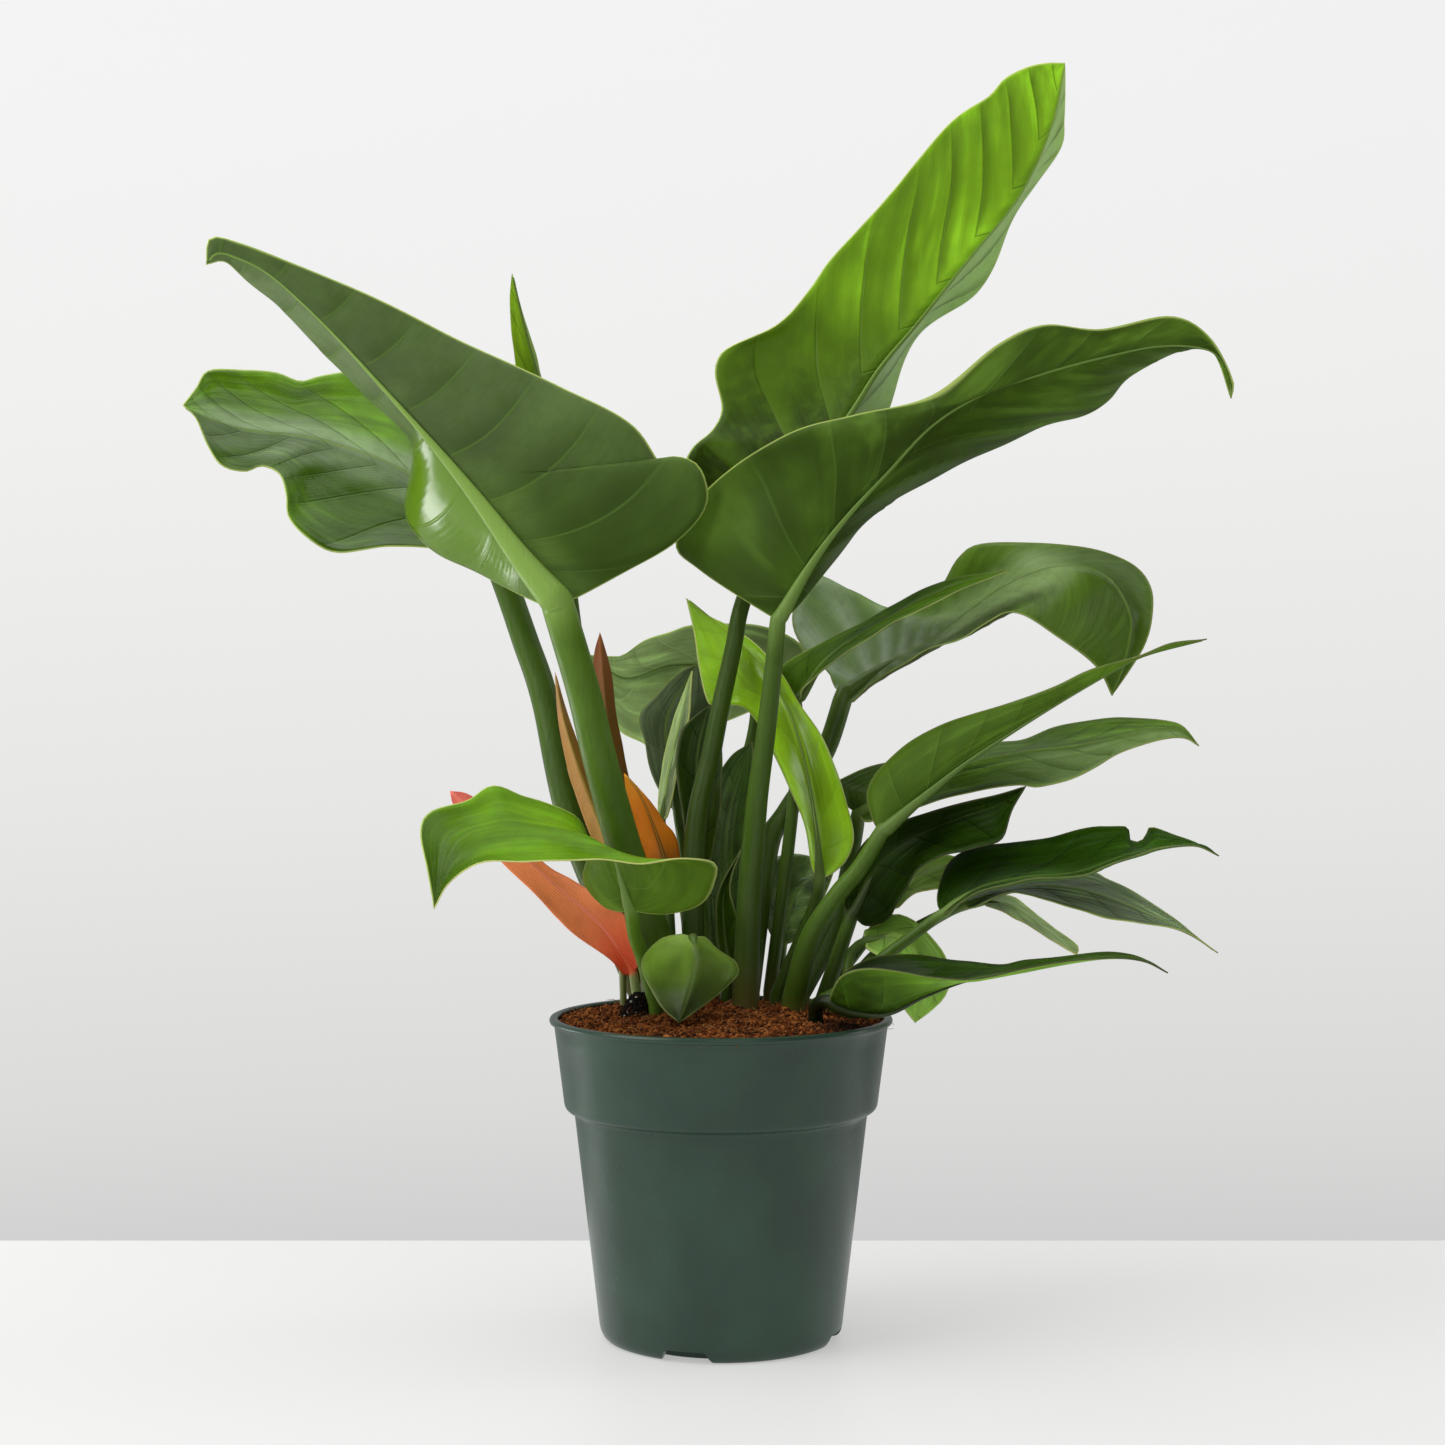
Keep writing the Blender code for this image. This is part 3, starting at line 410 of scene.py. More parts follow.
# %% Tall leaves of the centre and right
LEAVES |= {
    "tall_right_leaf": dict(
        slot="bright_green_leaf", root=(-11.5, 12.5), radii=(5, 5, 4.2, 3.4),
        stalk=[(693, 905, 12), (697, 820, 16), (710, 760, 20), (722, 700, 23), (733, 650, 26),
               (742, 605, 28)],
        rib=[(765, 545, 30), (805, 485, 33), (853, 412, 36), (881, 368, 37), (917, 325, 37), (968, 261, 34),
             (1020, 196, 28), (1052, 125, 20), (1065, 63, 12)],
        left=[(755, 552, 32), (725, 540, 36), (695, 505, 34), (684, 470, 32), (692, 448, 34),
              (712, 430, 40), (722, 408, 44), (715, 376, 46), (718, 358, 46), (731, 346, 46),
              (778, 323, 44), (810, 289, 42), (830, 261, 40), (861, 226, 38), (893, 190, 34),
              (948, 125, 26), (988, 97, 20), (1004, 79, 18), (1027, 67, 15), (1047, 63, 13)],
        right=[(790, 545, 40), (835, 500, 62), (880, 425, 76), (917, 338, 80), (976, 293, 76),
               (1012, 222, 66), (1035, 186, 56), (1061, 147, 40), (1064, 119, 30), (1065, 90, 20)]),
    "broad_right_leaf": dict(
        slot="mid_green_leaf", root=(11, 11), radii=(6, 5.5, 4.5, 3.7),
        stalk=[(748, 920, 8), (752, 860, 4), (757, 800, 0), (765, 740, -3), (772, 680, -5)],
        rib=[(778, 620, -6), (810, 566, -7), (846, 518, -9), (890, 470, -12), (933, 425, -16),
             (985, 393, -22), (1045, 373, -28), (1100, 358, -34), (1160, 346, -40), (1209, 350, -45),
             (1229, 372, -47), (1231, 399, -48)],
        left=[(792, 612, 6), (815, 585, 30), (857, 530, 44), (893, 503, 46), (925, 483, 44), (976, 455, 36),
              (1035, 431, 26), (1079, 418, 14), (1107, 400, 4), (1130, 376, -8), (1182, 350, -30),
              (1213, 352, -42)],
        right=[(760, 610, -2), (700, 570, 16), (676, 542, 24), (709, 487, 18), (778, 439, -4),
               (853, 415, -10), (930, 396, -16), (996, 346, -22), (1043, 325, -30), (1100, 329, -36),
               (1170, 316, -44), (1209, 336, -48), (1233, 380, -49)]),
    "young_centre_leaf": dict(
        slot="young_green_leaf", root=(26, 29), radii=(3.5, 3, 2.7),
        stalk=[(810, 917, 28), (817, 898, 26)],
        rib=[(820, 880, 24), (816, 830, 18), (806, 770, 14), (790, 715, 16), (764, 670, 27), (730, 635, 38),
             (686, 598, 44)],
        left=[(812, 868, 26), (806, 830, 28), (795, 799, 29), (776, 760, 30), (765, 735, 32),
              (745, 708, 35), (720, 705, 38), (708, 703, 39), (699, 669, 41), (694, 634, 43)],
        right=[(835, 872, 25), (848, 858, 24), (854, 836, 24), (847, 804, 25), (837, 771, 25),
               (820, 734, 24), (799, 703, 25), (782, 674, 30), (756, 644, 36), (728, 625, 40),
               (700, 612, 43)]),
    "arching_right_leaf": dict(
        slot="deep_green_leaf", root=(13, 40), radii=(5.2, 5, 4.8, 4.6),
        stalk=[(768, 850, 44), (785, 815, 46), (808, 780, 48), (828, 745, 52)],
        rib=[(845, 692, 56), (880, 668, 56), (926, 643, 52), (972, 609, 46), (1010, 583, 38),
             (1060, 566, 24), (1105, 575, 4), (1130, 615, -10), (1125, 660, -14), (1112, 696, -14)],
        left=[(834, 687, 62), (828, 672, 66), (805, 651, 74), (792, 622, 82), (800, 590, 88),
              (817, 576, 90), (839, 584, 90), (874, 605, 84), (905, 607, 78), (935, 601, 72),
              (946, 580, 72), (958, 558, 70), (979, 544, 66), (1032, 542, 56), (1071, 546, 46),
              (1111, 555, 32), (1138, 568, 18), (1152, 590, 4), (1152, 620, -6), (1145, 645, -10),
              (1130, 670, -13)],
        right=[(853, 702, 48), (872, 682, 30), (919, 656, 14), (982, 626, 2), (1009, 613, -4),
               (1038, 623, -10), (1071, 646, -14), (1098, 669, -16)]),
    "narrow_right_leaf": dict(
        slot="mid_green_leaf", root=(23, 44), radii=(3.2, 3, 2.6),
        stalk=[(788, 850, 36), (797, 760, 36)],
        rib=[(797, 700, 32), (830, 655, 28), (892, 615, 20), (950, 587, 10), (1011, 570, 0)],
        left=[(783, 690, 38), (783, 665, 42), (844, 632, 40), (892, 606, 34), (944, 581, 22)],
        right=[(801, 697, 26), (805, 686, 20), (844, 654, 12), (892, 624, 6), (928, 606, 2),
               (963, 589, 0)]),
}

# %% Leaves of the right side
LEAVES |= {
    "long_right_leaf": dict(
        slot="mid_green_leaf", root=(33, 8), radii=(5.5, 5, 4.2, 3.6),
        stalk=[(810, 939, 0), (838, 894, -6), (859, 869, -10)],
        rib=[(883, 830, -14), (926, 795, -18), (972, 759, -24), (1038, 716, -32), (1105, 676, -42),
             (1144, 656, -48), (1207, 639, -56)],
        left=[(890, 822, -8), (925, 785, -4), (960, 757, -6), (1000, 732, -12), (1045, 706, -22),
              (1105, 673, -36), (1150, 653, -46)],
        right=[(876, 827, -12), (868, 805, -8), (868, 789, -6), (879, 769, -6), (906, 745, -8),
               (939, 726, -14), (972, 714, -20), (1015, 701, -28), (1055, 686, -36), (1091, 669, -42),
               (1138, 656, -49), (1171, 643, -54)]),
    "middle_right_leaf": dict(
        slot="bright_green_leaf", root=(37, 26), radii=(4.2, 4, 3.6),
        stalk=[(834, 930, 32), (852, 850, 40)],
        rib=[(858, 815, 34), (900, 790, 20), (960, 765, 14), (1020, 752, 6), (1080, 745, -4),
             (1130, 735, -14), (1175, 731, -24), (1199, 746, -28)],
        left=[(840, 800, 35), (834, 785, 40), (842, 779, 43), (876, 765, 42), (930, 755, 44),
              (1000, 743, 38), (1022, 739, 36), (1055, 727, 28), (1105, 719, 14), (1138, 718, 2),
              (1168, 721, -12), (1184, 727, -20)],
        right=[(868, 822, 22), (900, 812, 6), (960, 795, -6), (1015, 784, -12), (1038, 787, -16),
               (1065, 782, -20), (1095, 767, -23), (1121, 752, -25), (1160, 740, -26), (1184, 738, -27)]),
    "shaded_right_leaf": dict(
        slot="deep_green_leaf", root=(47, 14), radii=(3.8, 3.5, 3.2),
        stalk=[(845, 935, 14)],
        rib=[(852, 915, 14), (875, 870, 10), (915, 838, 2), (960, 818, -8), (1000, 804, -20),
             (1026, 786, -30)],
        left=[(845, 905, 20), (850, 870, 20), (868, 838, 12), (905, 820, 0), (950, 806, -10),
              (1000, 794, -24)],
        right=[(866, 926, 6), (889, 918, -4), (902, 895, -12), (916, 871, -18), (939, 858, -24),
               (972, 848, -28), (993, 844, -30), (1004, 836, -31), (1012, 810, -31)]),
    "notched_right_leaf": dict(
        slot="bright_green_leaf", root=(43, -5), radii=(3.2, 2.8, 2.4),
        stalk=[(850, 985, -10), (880, 960, -14), (920, 930, -18)],
        rib=[(940, 915, -20), (957, 900, -22), (984, 886, -25), (1026, 877, -30), (1079, 872, -36),
             (1131, 854, -44), (1195, 844, -54), (1219, 856, -58)],
        left=[(940, 912, -18), (937, 903, -14), (938, 890, -8), (945, 869, 0), (955, 857, 4), (975, 848, 4),
              (995, 844, 2), (1047, 838, -6), (1089, 828, -16), (1106, 826, -20), (1128, 827, -26),
              (1127, 838, -28), (1140, 842, -32), (1148, 832, -34), (1152, 827, -36), (1175, 835, -44),
              (1195, 842, -52)],
        right=[(948, 912, -26), (960, 903, -36), (984, 890, -44), (1026, 880, -48), (1079, 876, -52),
               (1104, 866, -54), (1131, 858, -56), (1159, 848, -57), (1195, 846, -58)]),
    "lower_right_leaf": dict(
        slot="mid_green_leaf", root=(52, 4), radii=(2.8, 2.5, 2.2),
        stalk=[(880, 950, 8), (930, 920, 6)],
        rib=[(965, 905, 4), (1005, 890, 0), (1055, 886, -5), (1106, 896, -12), (1150, 915, -20),
             (1190, 934, -26), (1218, 953, -30)],
        left=[(962, 897, 12), (1000, 876, 16), (1047, 866, 12), (1091, 871, 4), (1106, 878, 0),
              (1131, 890, -8), (1174, 918, -20), (1195, 935, -26)],
        right=[(972, 908, -2), (1005, 893, -10), (1026, 894, -14), (1047, 901, -18), (1079, 909, -22),
               (1110, 919, -26), (1163, 926, -29), (1190, 934, -30)]),
    "slim_right_leaf": dict(
        slot="mid_green_leaf", root=(56, 20), radii=(2.4, 2.2, 2),
        stalk=[(900, 945, 18), (950, 912, 16)],
        rib=[(985, 901, 14), (1011, 905, 10), (1040, 925, 6), (1077, 955, 2)],
        left=[(990, 894, 22), (1015, 898, 20), (1047, 923, 14), (1077, 945, 6)],
        right=[(985, 905, 8), (1001, 911, 0), (1026, 924, -4), (1060, 945, -4)]),
    "rim_right_leaf": dict(
        slot="mid_green_leaf", root=(42, -25), radii=(3.4, 3.2, 3),
        stalk=[(821, 1002, -30)],
        rib=[(831, 1002, -34), (856, 1011, -38), (889, 1012, -44), (926, 995, -50), (972, 979, -56),
             (1038, 968, -62), (1102, 957, -68), (1142, 959, -74), (1168, 973, -78)],
        left=[(834, 985, -28), (850, 968, -24), (875, 957, -22), (900, 955, -24), (931, 956, -28),
              (963, 961, -34), (1001, 965, -43), (1026, 960, -49), (1068, 956, -57), (1102, 952, -65),
              (1123, 953, -69), (1142, 958, -73)],
        right=[(831, 993, -43), (842, 975, -50), (868, 968, -56), (900, 971, -60), (946, 979, -66),
               (975, 979, -68), (1038, 966, -72), (1102, 958, -75), (1142, 961, -77)]),
    "hanging_right_leaf": dict(
        slot="deep_green_leaf", root=(57, -4), radii=(2.8, 2.5, 2.2),
        stalk=[(850, 955, 5)],
        rib=[(868, 940, 6), (900, 935, 0), (918, 960, -4), (921, 995, -6), (915, 1023, -6)],
        left=[(862, 932, 10), (880, 924, 10), (893, 914, 8), (910, 918, 5), (925, 930, 2), (945, 955, 0),
              (950, 980, -3), (945, 997, -4), (930, 1012, -5)],
        right=[(866, 948, 2), (880, 958, -5), (890, 980, -8), (898, 1000, -8), (904, 1009, -7)]),
    "small_right_leaf": dict(
        slot="deep_green_leaf", root=(48, 32), radii=(2.6, 2.4, 2.2),
        stalk=[(870, 935, 28)],
        rib=[(885, 905, 26), (915, 880, 23), (950, 868, 18), (985, 872, 12)],
        left=[(890, 893, 32), (905, 876, 32), (918, 865, 31), (948, 855, 26)],
        right=[(897, 908, 20), (915, 893, 15), (939, 889, 12), (965, 884, 10)]),
}

# %% Small leaves of the centre
LEAVES |= {
    "low_centre_leaf": dict(
        slot="deep_green_leaf", root=(30, 54), radii=(3, 2.8, 2.5),
        stalk=[(780, 965, 50)],
        rib=[(782, 945, 50), (788, 915, 52), (802, 885, 54), (835, 868, 54)],
        left=[(772, 938, 52), (763, 912, 54), (763, 885, 57), (768, 864, 60), (785, 854, 62),
              (810, 856, 60)],
        right=[(795, 940, 46), (810, 920, 46), (825, 895, 48)]),
    "wavy_centre_leaf": dict(
        slot="mid_green_leaf", root=(2, 21), radii=(2, 1.7, 1.2),
        stalk=[],
        rib=[(731, 970, 21), (724, 930, 24), (724, 890, 24), (742, 848, 22)],
        left=[(722, 962, 20), (716, 930, 21), (719, 890, 20)],
        right=[(738, 960, 17), (738, 925, 14), (730, 885, 15)]),
    "rear_centre_leaf": dict(
        slot="deep_green_leaf", root=(-4, 52), radii=(4, 3.5, 2.8),
        stalk=[(722, 850, 80), (752, 740, 95)],
        rib=[(757, 690, 102), (720, 668, 110), (670, 665, 115), (625, 678, 114), (590, 655, 108)],
        left=[(790, 670, 98), (805, 651, 94), (787, 635, 92), (750, 624, 92), (693, 625, 96),
              (670, 632, 100), (645, 640, 104), (623, 655, 106), (609, 656, 107)],
        right=[(760, 705, 104), (730, 720, 110), (690, 735, 116), (660, 750, 118), (640, 742, 118),
               (617, 728, 116), (600, 700, 112), (588, 672, 109)]),
    "dark_centre_leaf": dict(
        slot="deep_green_leaf", root=(-12, 40), radii=(3.4, 3, 2.6),
        stalk=[(688, 880, 54)],
        rib=[(678, 810, 60), (670, 760, 63), (668, 715, 63), (697, 664, 60)],
        left=[(690, 805, 58), (700, 770, 57), (707, 740, 57), (712, 705, 57), (705, 675, 58)],
        right=[(668, 805, 62), (652, 775, 64), (645, 743, 66), (640, 715, 66), (659, 692, 64),
               (680, 672, 61)]),
    "folded_centre_leaf": dict(
        slot="mid_green_leaf", root=(-22, 22), radii=(2.6, 2.4, 2.2),
        stalk=[(668, 890, 42)],
        rib=[(661, 820, 50), (668, 770, 50), (680, 720, 49), (692, 671, 46)],
        left=[(658, 812, 54), (661, 775, 58), (672, 725, 57)],
        right=[(668, 815, 46), (677, 775, 42), (688, 725, 42)]),
    "upright_centre_leaf": dict(
        slot="deep_green_leaf", root=(-6, 26), radii=(3, 2.8, 2.5),
        stalk=[(702, 920, 32)],
        rib=[(700, 870, 36), (697, 800, 38), (698, 750, 40), (709, 705, 42)],
        left=[(690, 862, 34), (682, 810, 34), (676, 767, 36), (680, 735, 38), (688, 722, 40)],
        right=[(710, 862, 33), (720, 810, 31), (722, 760, 33), (718, 725, 38)]),
    "inner_centre_leaf": dict(
        slot="deep_green_leaf", root=(3, 36), radii=(3, 2.8, 2.5),
        stalk=[],
        rib=[(727, 960, 37), (725, 880, 44), (731, 810, 49), (752, 742, 52)],
        left=[(713, 952, 38), (704, 900, 43), (704, 840, 50), (712, 790, 54), (730, 757, 55)],
        right=[(737, 950, 34), (744, 900, 35), (750, 840, 38), (756, 790, 43)]),
}

# %% Dried sheaths
LEAVES |= {
    "red_sheath": dict(
        slot="red_sheath", root=(-37.5, 0.5), radii=(2.4, 2.2, 2),
        stalk=[],
        rib=[(633, 972, 0), (600, 925, 3), (555, 885, 5), (500, 835, 9), (450, 791, 12)],
        left=[(624, 975, -1), (610, 959, -4), (575, 935, -4), (558, 918, -3), (530, 889, 0), (503, 863, 4),
              (470, 824, 9), (454, 806, 11)],
        right=[(639, 962, -3), (632, 925, -3), (606, 901, 2), (572, 880, 10), (543, 862, 14),
               (492, 812, 15), (468, 794, 14)]),
    "orange_sheath": dict(
        slot="orange_sheath", root=(-16, 20.5), radii=(1.6, 1.7, 1.8),
        stalk=[(684, 915, 20)],
        rib=[(668, 870, 20), (655, 830, 18), (640, 795, 19), (624, 773, 22)],
        left=[(655, 872, 26), (640, 843, 28), (629, 810, 26)],
        right=[(680, 865, 26), (676, 838, 28), (662, 819, 28), (649, 800, 26)]),
    "brown_sheath": dict(
        slot="brown_sheath", root=(-27, 24), radii=(1.6, 1.8, 2.2),
        stalk=[(652, 900, 28)],
        rib=[(640, 850, 31), (622, 790, 28), (607, 715, 26), (600, 632, 28)],
        left=[(628, 850, 37), (608, 790, 35), (597, 735, 33), (593, 695, 32), (594, 656, 30)],
        right=[(650, 850, 37), (634, 800, 36), (617, 719, 33), (611, 672, 31)]),
    "tan_sheath": dict(
        slot="tan_sheath", root=(-45, 21), radii=(1.6, 1.8, 2.2),
        stalk=[(620, 900, 21)],
        rib=[(612, 850, 20), (583, 780, 20), (564, 720, 22), (555, 672, 26)],
        left=[(600, 855, 26), (574, 790, 27), (560, 730, 28)],
        right=[(622, 848, 26), (594, 785, 27), (570, 722, 28)]),
}

# %% [markdown]
# ## The blade's surface
# A blade is a thin skin between three lines, the midrib and the two margins. Each row of points
# runs from the left margin over the midrib to the right one, and each half sags a little, like a
# shallow gutter. Mesh code suits this better than sculpting, because the same rule makes all the
# leaves and each one still follows its own lines.

# %% Rows across the blade
ROW_STEP = 2.3 * MM
ROW_COUNTS = (24, 110)
COLUMN_STEP = 3.3 * MM
HALF_COLUMNS = (6, 26)
BLADE_CUP = 0.18
NORMAL_ROUNDS = 6


def unit(vectors):
    return vectors / np.maximum(np.linalg.norm(vectors, axis=-1, keepdims=True), 1e-9)


def blade_lines(leaf):
    """The midrib, left and right margins, as evenly spaced stations."""
    rib = seen_at(leaf["rib"])
    count = int(np.clip(travelled(rib)[-1] / ROW_STEP, *ROW_COUNTS)) + 1
    margins = [np.vstack((rib[:1], seen_at(leaf[side]), rib[-1:])) for side in ("left", "right")]
    return [smooth_line(line, count) for line in (rib, *margins)]


def row_normals(rib, left, right):
    """Direction out of the blade's upper side, one for each row."""
    normals = unit(np.cross(right - left, np.gradient(rib, axis=0)))
    normals[0], normals[-1] = normals[1], normals[-2]
    for repeat in range(NORMAL_ROUNDS):
        normals[1:-1] = unit(normals[:-2] + normals[1:-1] * 2 + normals[2:])
    return normals


# %% [markdown]
# ## The veins
# In this plant the side veins leave the midrib at a steep angle and bend towards the tip, and the
# lowest ones turn back into the two lobes. Each point of the blade therefore gets a vein number,
# found from where the vein through it leaves the midrib. Whole numbers are veins. The same number
# drives the small relief in the mesh and the vein lines in the finish, so the two always agree.

# %% Vein numbers
VEIN_BACKWARD = 1.5
LOBE_SHARE = 0.12
LOBE_VEINS = 1.7
LEAST_VEINS = 4.0
SEARCH_SPAN = (-0.6, 1.4)
HALVINGS = 36


def vein_numbers(along, away, length, look):
    """Which side vein passes through points at a distance along and away from the midrib."""
    low, high = (np.full_like(along, share * length) for share in SEARCH_SPAN)
    turn = LOBE_SHARE * length
    for halving in range(HALVINGS):
        start = (low + high) / 2
        slope = look["forward"] * (1 + look["tip_lean"] * (start / length) ** 2)
        slope = slope - (look["forward"] + VEIN_BACKWARD) * np.exp(-start / turn)
        reached = start + away * slope + look["bend"] * away ** 2 / length
        low = np.where(reached < along, start, low)
        high = np.where(reached < along, high, start)
    veins = max(LEAST_VEINS, length / look["spacing"] / MM)
    return veins * start / length + LOBE_VEINS * np.tanh(start / turn)


# %% [markdown]
# ## Relief of the blade
# Between two side veins the blade puffs up a little, like a quilt, and near the margin it ripples.
# The quilt fades out at the midrib, the margin and the tip, where the blade is held flat, and the
# ripple fades out at the midrib, the base and the tip.

# %% Points of the blade
QUILT = 0.5 * MM
CALM_AT_RIB = 9 * MM
CALM_AT_EDGE = 8 * MM
CALM_AT_TIP = 0.15
RIPPLE = 0.9 * MM
RIPPLE_TURNS = (23, 41)
RIPPLE_WIDTH = 50 * MM
LEFT_SHIFT, RIGHT_SHIFT, LEAF_SHIFT = 0.3, -0.2, 0.37


def between(value, start, end):
    """Goes smoothly from 0 to 1 while the value goes from start to end."""
    share = np.clip((value - start) / (end - start), 0, 1)
    return share * share * (3 - 2 * share)


def puffed(number):
    """Height of the quilt: steep beside a vein, highest soon after it, and falling to the next."""
    past = number - np.floor(number)
    return 1.9 * past ** 0.4 * (1 - past) ** 0.8 - 0.6


def blade_points(leaf, look, lines, seed):
    """The grid of points and, for each, its vein number and distances to midrib and margin."""
    rib, left, right = lines
    widest = np.linalg.norm(right - left, axis=1).max()
    half = int(np.clip(widest / 2 / COLUMN_STEP, *HALF_COLUMNS))
    columns = np.arange(-half, half + 1)
    out = np.abs(columns) / half
    reach = np.where((columns < 0)[None, :, None], left[:, None], right[:, None]) - rib[:, None]
    width = np.linalg.norm(reach, axis=2)
    normals = row_normals(rib, left, right)
    sag = 2 * BLADE_CUP * out * (1 - out) * width
    points = rib[:, None] + reach * out[:, None] - normals[:, None] * sag[..., None]

    heading = unit(np.gradient(rib, axis=0))
    forward = (reach * heading[:, None]).sum(axis=2)
    sideways = np.sqrt(np.maximum(width ** 2 - forward ** 2, 0))
    run = travelled(rib)
    away = out * sideways
    number = vein_numbers(run[:, None] + out * forward, away, run[-1], look)
    number = number + np.where(columns < 0, LEFT_SHIFT, RIGHT_SHIFT) + seed * LEAF_SHIFT
    to_edge = (1 - out) * sideways

    skin = unit(np.cross(np.gradient(points, axis=1), np.gradient(points, axis=0)))
    skin[~np.isfinite(skin)] = 0
    skin = np.where((skin * normals[:, None]).sum(2, keepdims=True) < -0.2, -skin, skin)
    share = run[:, None] / run[-1]
    calm = between(away, 0, CALM_AT_RIB) * between(to_edge, 0, CALM_AT_EDGE)
    calm = calm * between(1 - share, 0, CALM_AT_TIP)
    slow, quick = RIPPLE_TURNS
    wave = np.sin(share * slow + seed * 2.1 + np.where(columns < 0, 0, 1.7))
    wave = wave + 0.5 * np.sin(share * quick + seed * 1.3)
    wave = np.minimum(1, width / RIPPLE_WIDTH) * out ** 2 * wave * np.sin(math.pi * share)
    lift = QUILT * look["quilt"] * calm * puffed(number) + RIPPLE * wave
    facts = dict(vein_number=number, rib_mm=away / MM, edge_mm=to_edge / MM,
                 along=np.broadcast_to(share, away.shape),
                 right_half=np.broadcast_to(columns > 0, away.shape))
    return points + skin * lift[..., None], facts


# %% The skin as a mesh
def closed_rows(values):
    """The first and last row shrunk to one point each, and the rest in order."""
    middle = values.shape[1] // 2
    inner = values[1:-1].reshape(-1, *values.shape[2:])
    return np.concatenate((values[0, middle:middle + 1], inner, values[-1, middle:middle + 1]))


def grid_faces(rows, columns):
    """Faces over closed_rows of a grid, pointing to the upper side."""
    place = np.arange((rows - 2) * columns).reshape(rows - 2, columns) + 1
    last = place[-1, -1] + 1
    faces = [(0, b, a) for a, b in zip(place[0], place[0, 1:])]
    corners = (place[:-1, :-1], place[:-1, 1:], place[1:, 1:], place[1:, :-1])
    faces += zip(*(corner.ravel() for corner in corners))
    faces += [(a, b, last) for a, b in zip(place[-1], place[-1, 1:])]
    return [tuple(int(corner) for corner in face) for face in faces]


def keep_fact(mesh, name, values):
    """Stores one number for each point, or one vector, where a node tree can read it."""
    values = np.asarray(values, np.float32)
    kind, key = ("FLOAT", "value") if values.ndim == 1 else ("FLOAT_VECTOR", "vector")
    mesh.attributes.new(name, kind, "POINT").data.foreach_set(key, values.ravel())


def skin_mesh(name, points, facts):
    mesh = new_mesh(name, closed_rows(points).tolist(), faces=grid_faces(*points.shape[:2]))
    for fact_name, values in facts.items():
        keep_fact(mesh, fact_name, closed_rows(values))
    mesh.shade_smooth()
    return mesh


# %% [markdown]
# ## Stalk and midrib
# A stalk stands in the soil, runs up to the blade and goes on under it as the midrib, getting
# thinner all the way to the tip. It follows a path, so Geometry Nodes make it: the path carries a
# half width at each point, and the tree sweeps a ring along it, joins it to the blade, and gives
# it the stalk's finish. Under the blade the ring is pressed flat, as a real midrib is. The tree has
# named inputs, so each leaf sets its own path and finish.

# %% Helpers for node groups
def start_group(name, inputs):
    """A new node group with named inputs, and the sockets where they come in."""
    tree = bpy.data.node_groups.new(name, "GeometryNodeTree")
    tree.interface.new_socket("Geometry", in_out="OUTPUT", socket_type="NodeSocketGeometry")
    for label, (kind, value) in inputs.items():
        made = tree.interface.new_socket(label, in_out="INPUT", socket_type=f"NodeSocket{kind}")
        if value is not None:
            made.default_value = value
    return tree, tree.nodes.new("NodeGroupInput").outputs


def end_group(tree, geometry, finish, chosen=True):
    """Makes the instances real, sets the finish where it is chosen, and hands the result out."""
    real = add_node(tree, "GeometryNodeRealizeInstances", {"Geometry": geometry})
    done = add_node(tree, "GeometryNodeSetMaterial",
                    {"Geometry": real.outputs[0], "Selection": chosen, "Material": finish})
    add_node(tree, "NodeGroupOutput", {0: done.outputs[0]})
    return tree


def stored(tree, name, kind="FLOAT"):
    return add_node(tree, "GeometryNodeInputNamedAttribute", {"Name": name}, data_type=kind).outputs[0]


def store(tree, geometry, name, value, domain):
    return add_node(tree, "GeometryNodeStoreNamedAttribute",
                    {"Geometry": geometry, "Name": name, "Value": value}, data_type="FLOAT", domain=domain)


def set_inputs(modifier, **values):
    """Sets a node modifier's inputs, found by the names that the tree shows."""
    for item in modifier.node_group.interface.items_tree:
        if item.item_type == "SOCKET" and item.in_out == "INPUT":
            key = item.name.lower().replace(" ", "_")
            if key in values:
                modifier[item.identifier] = values[key]


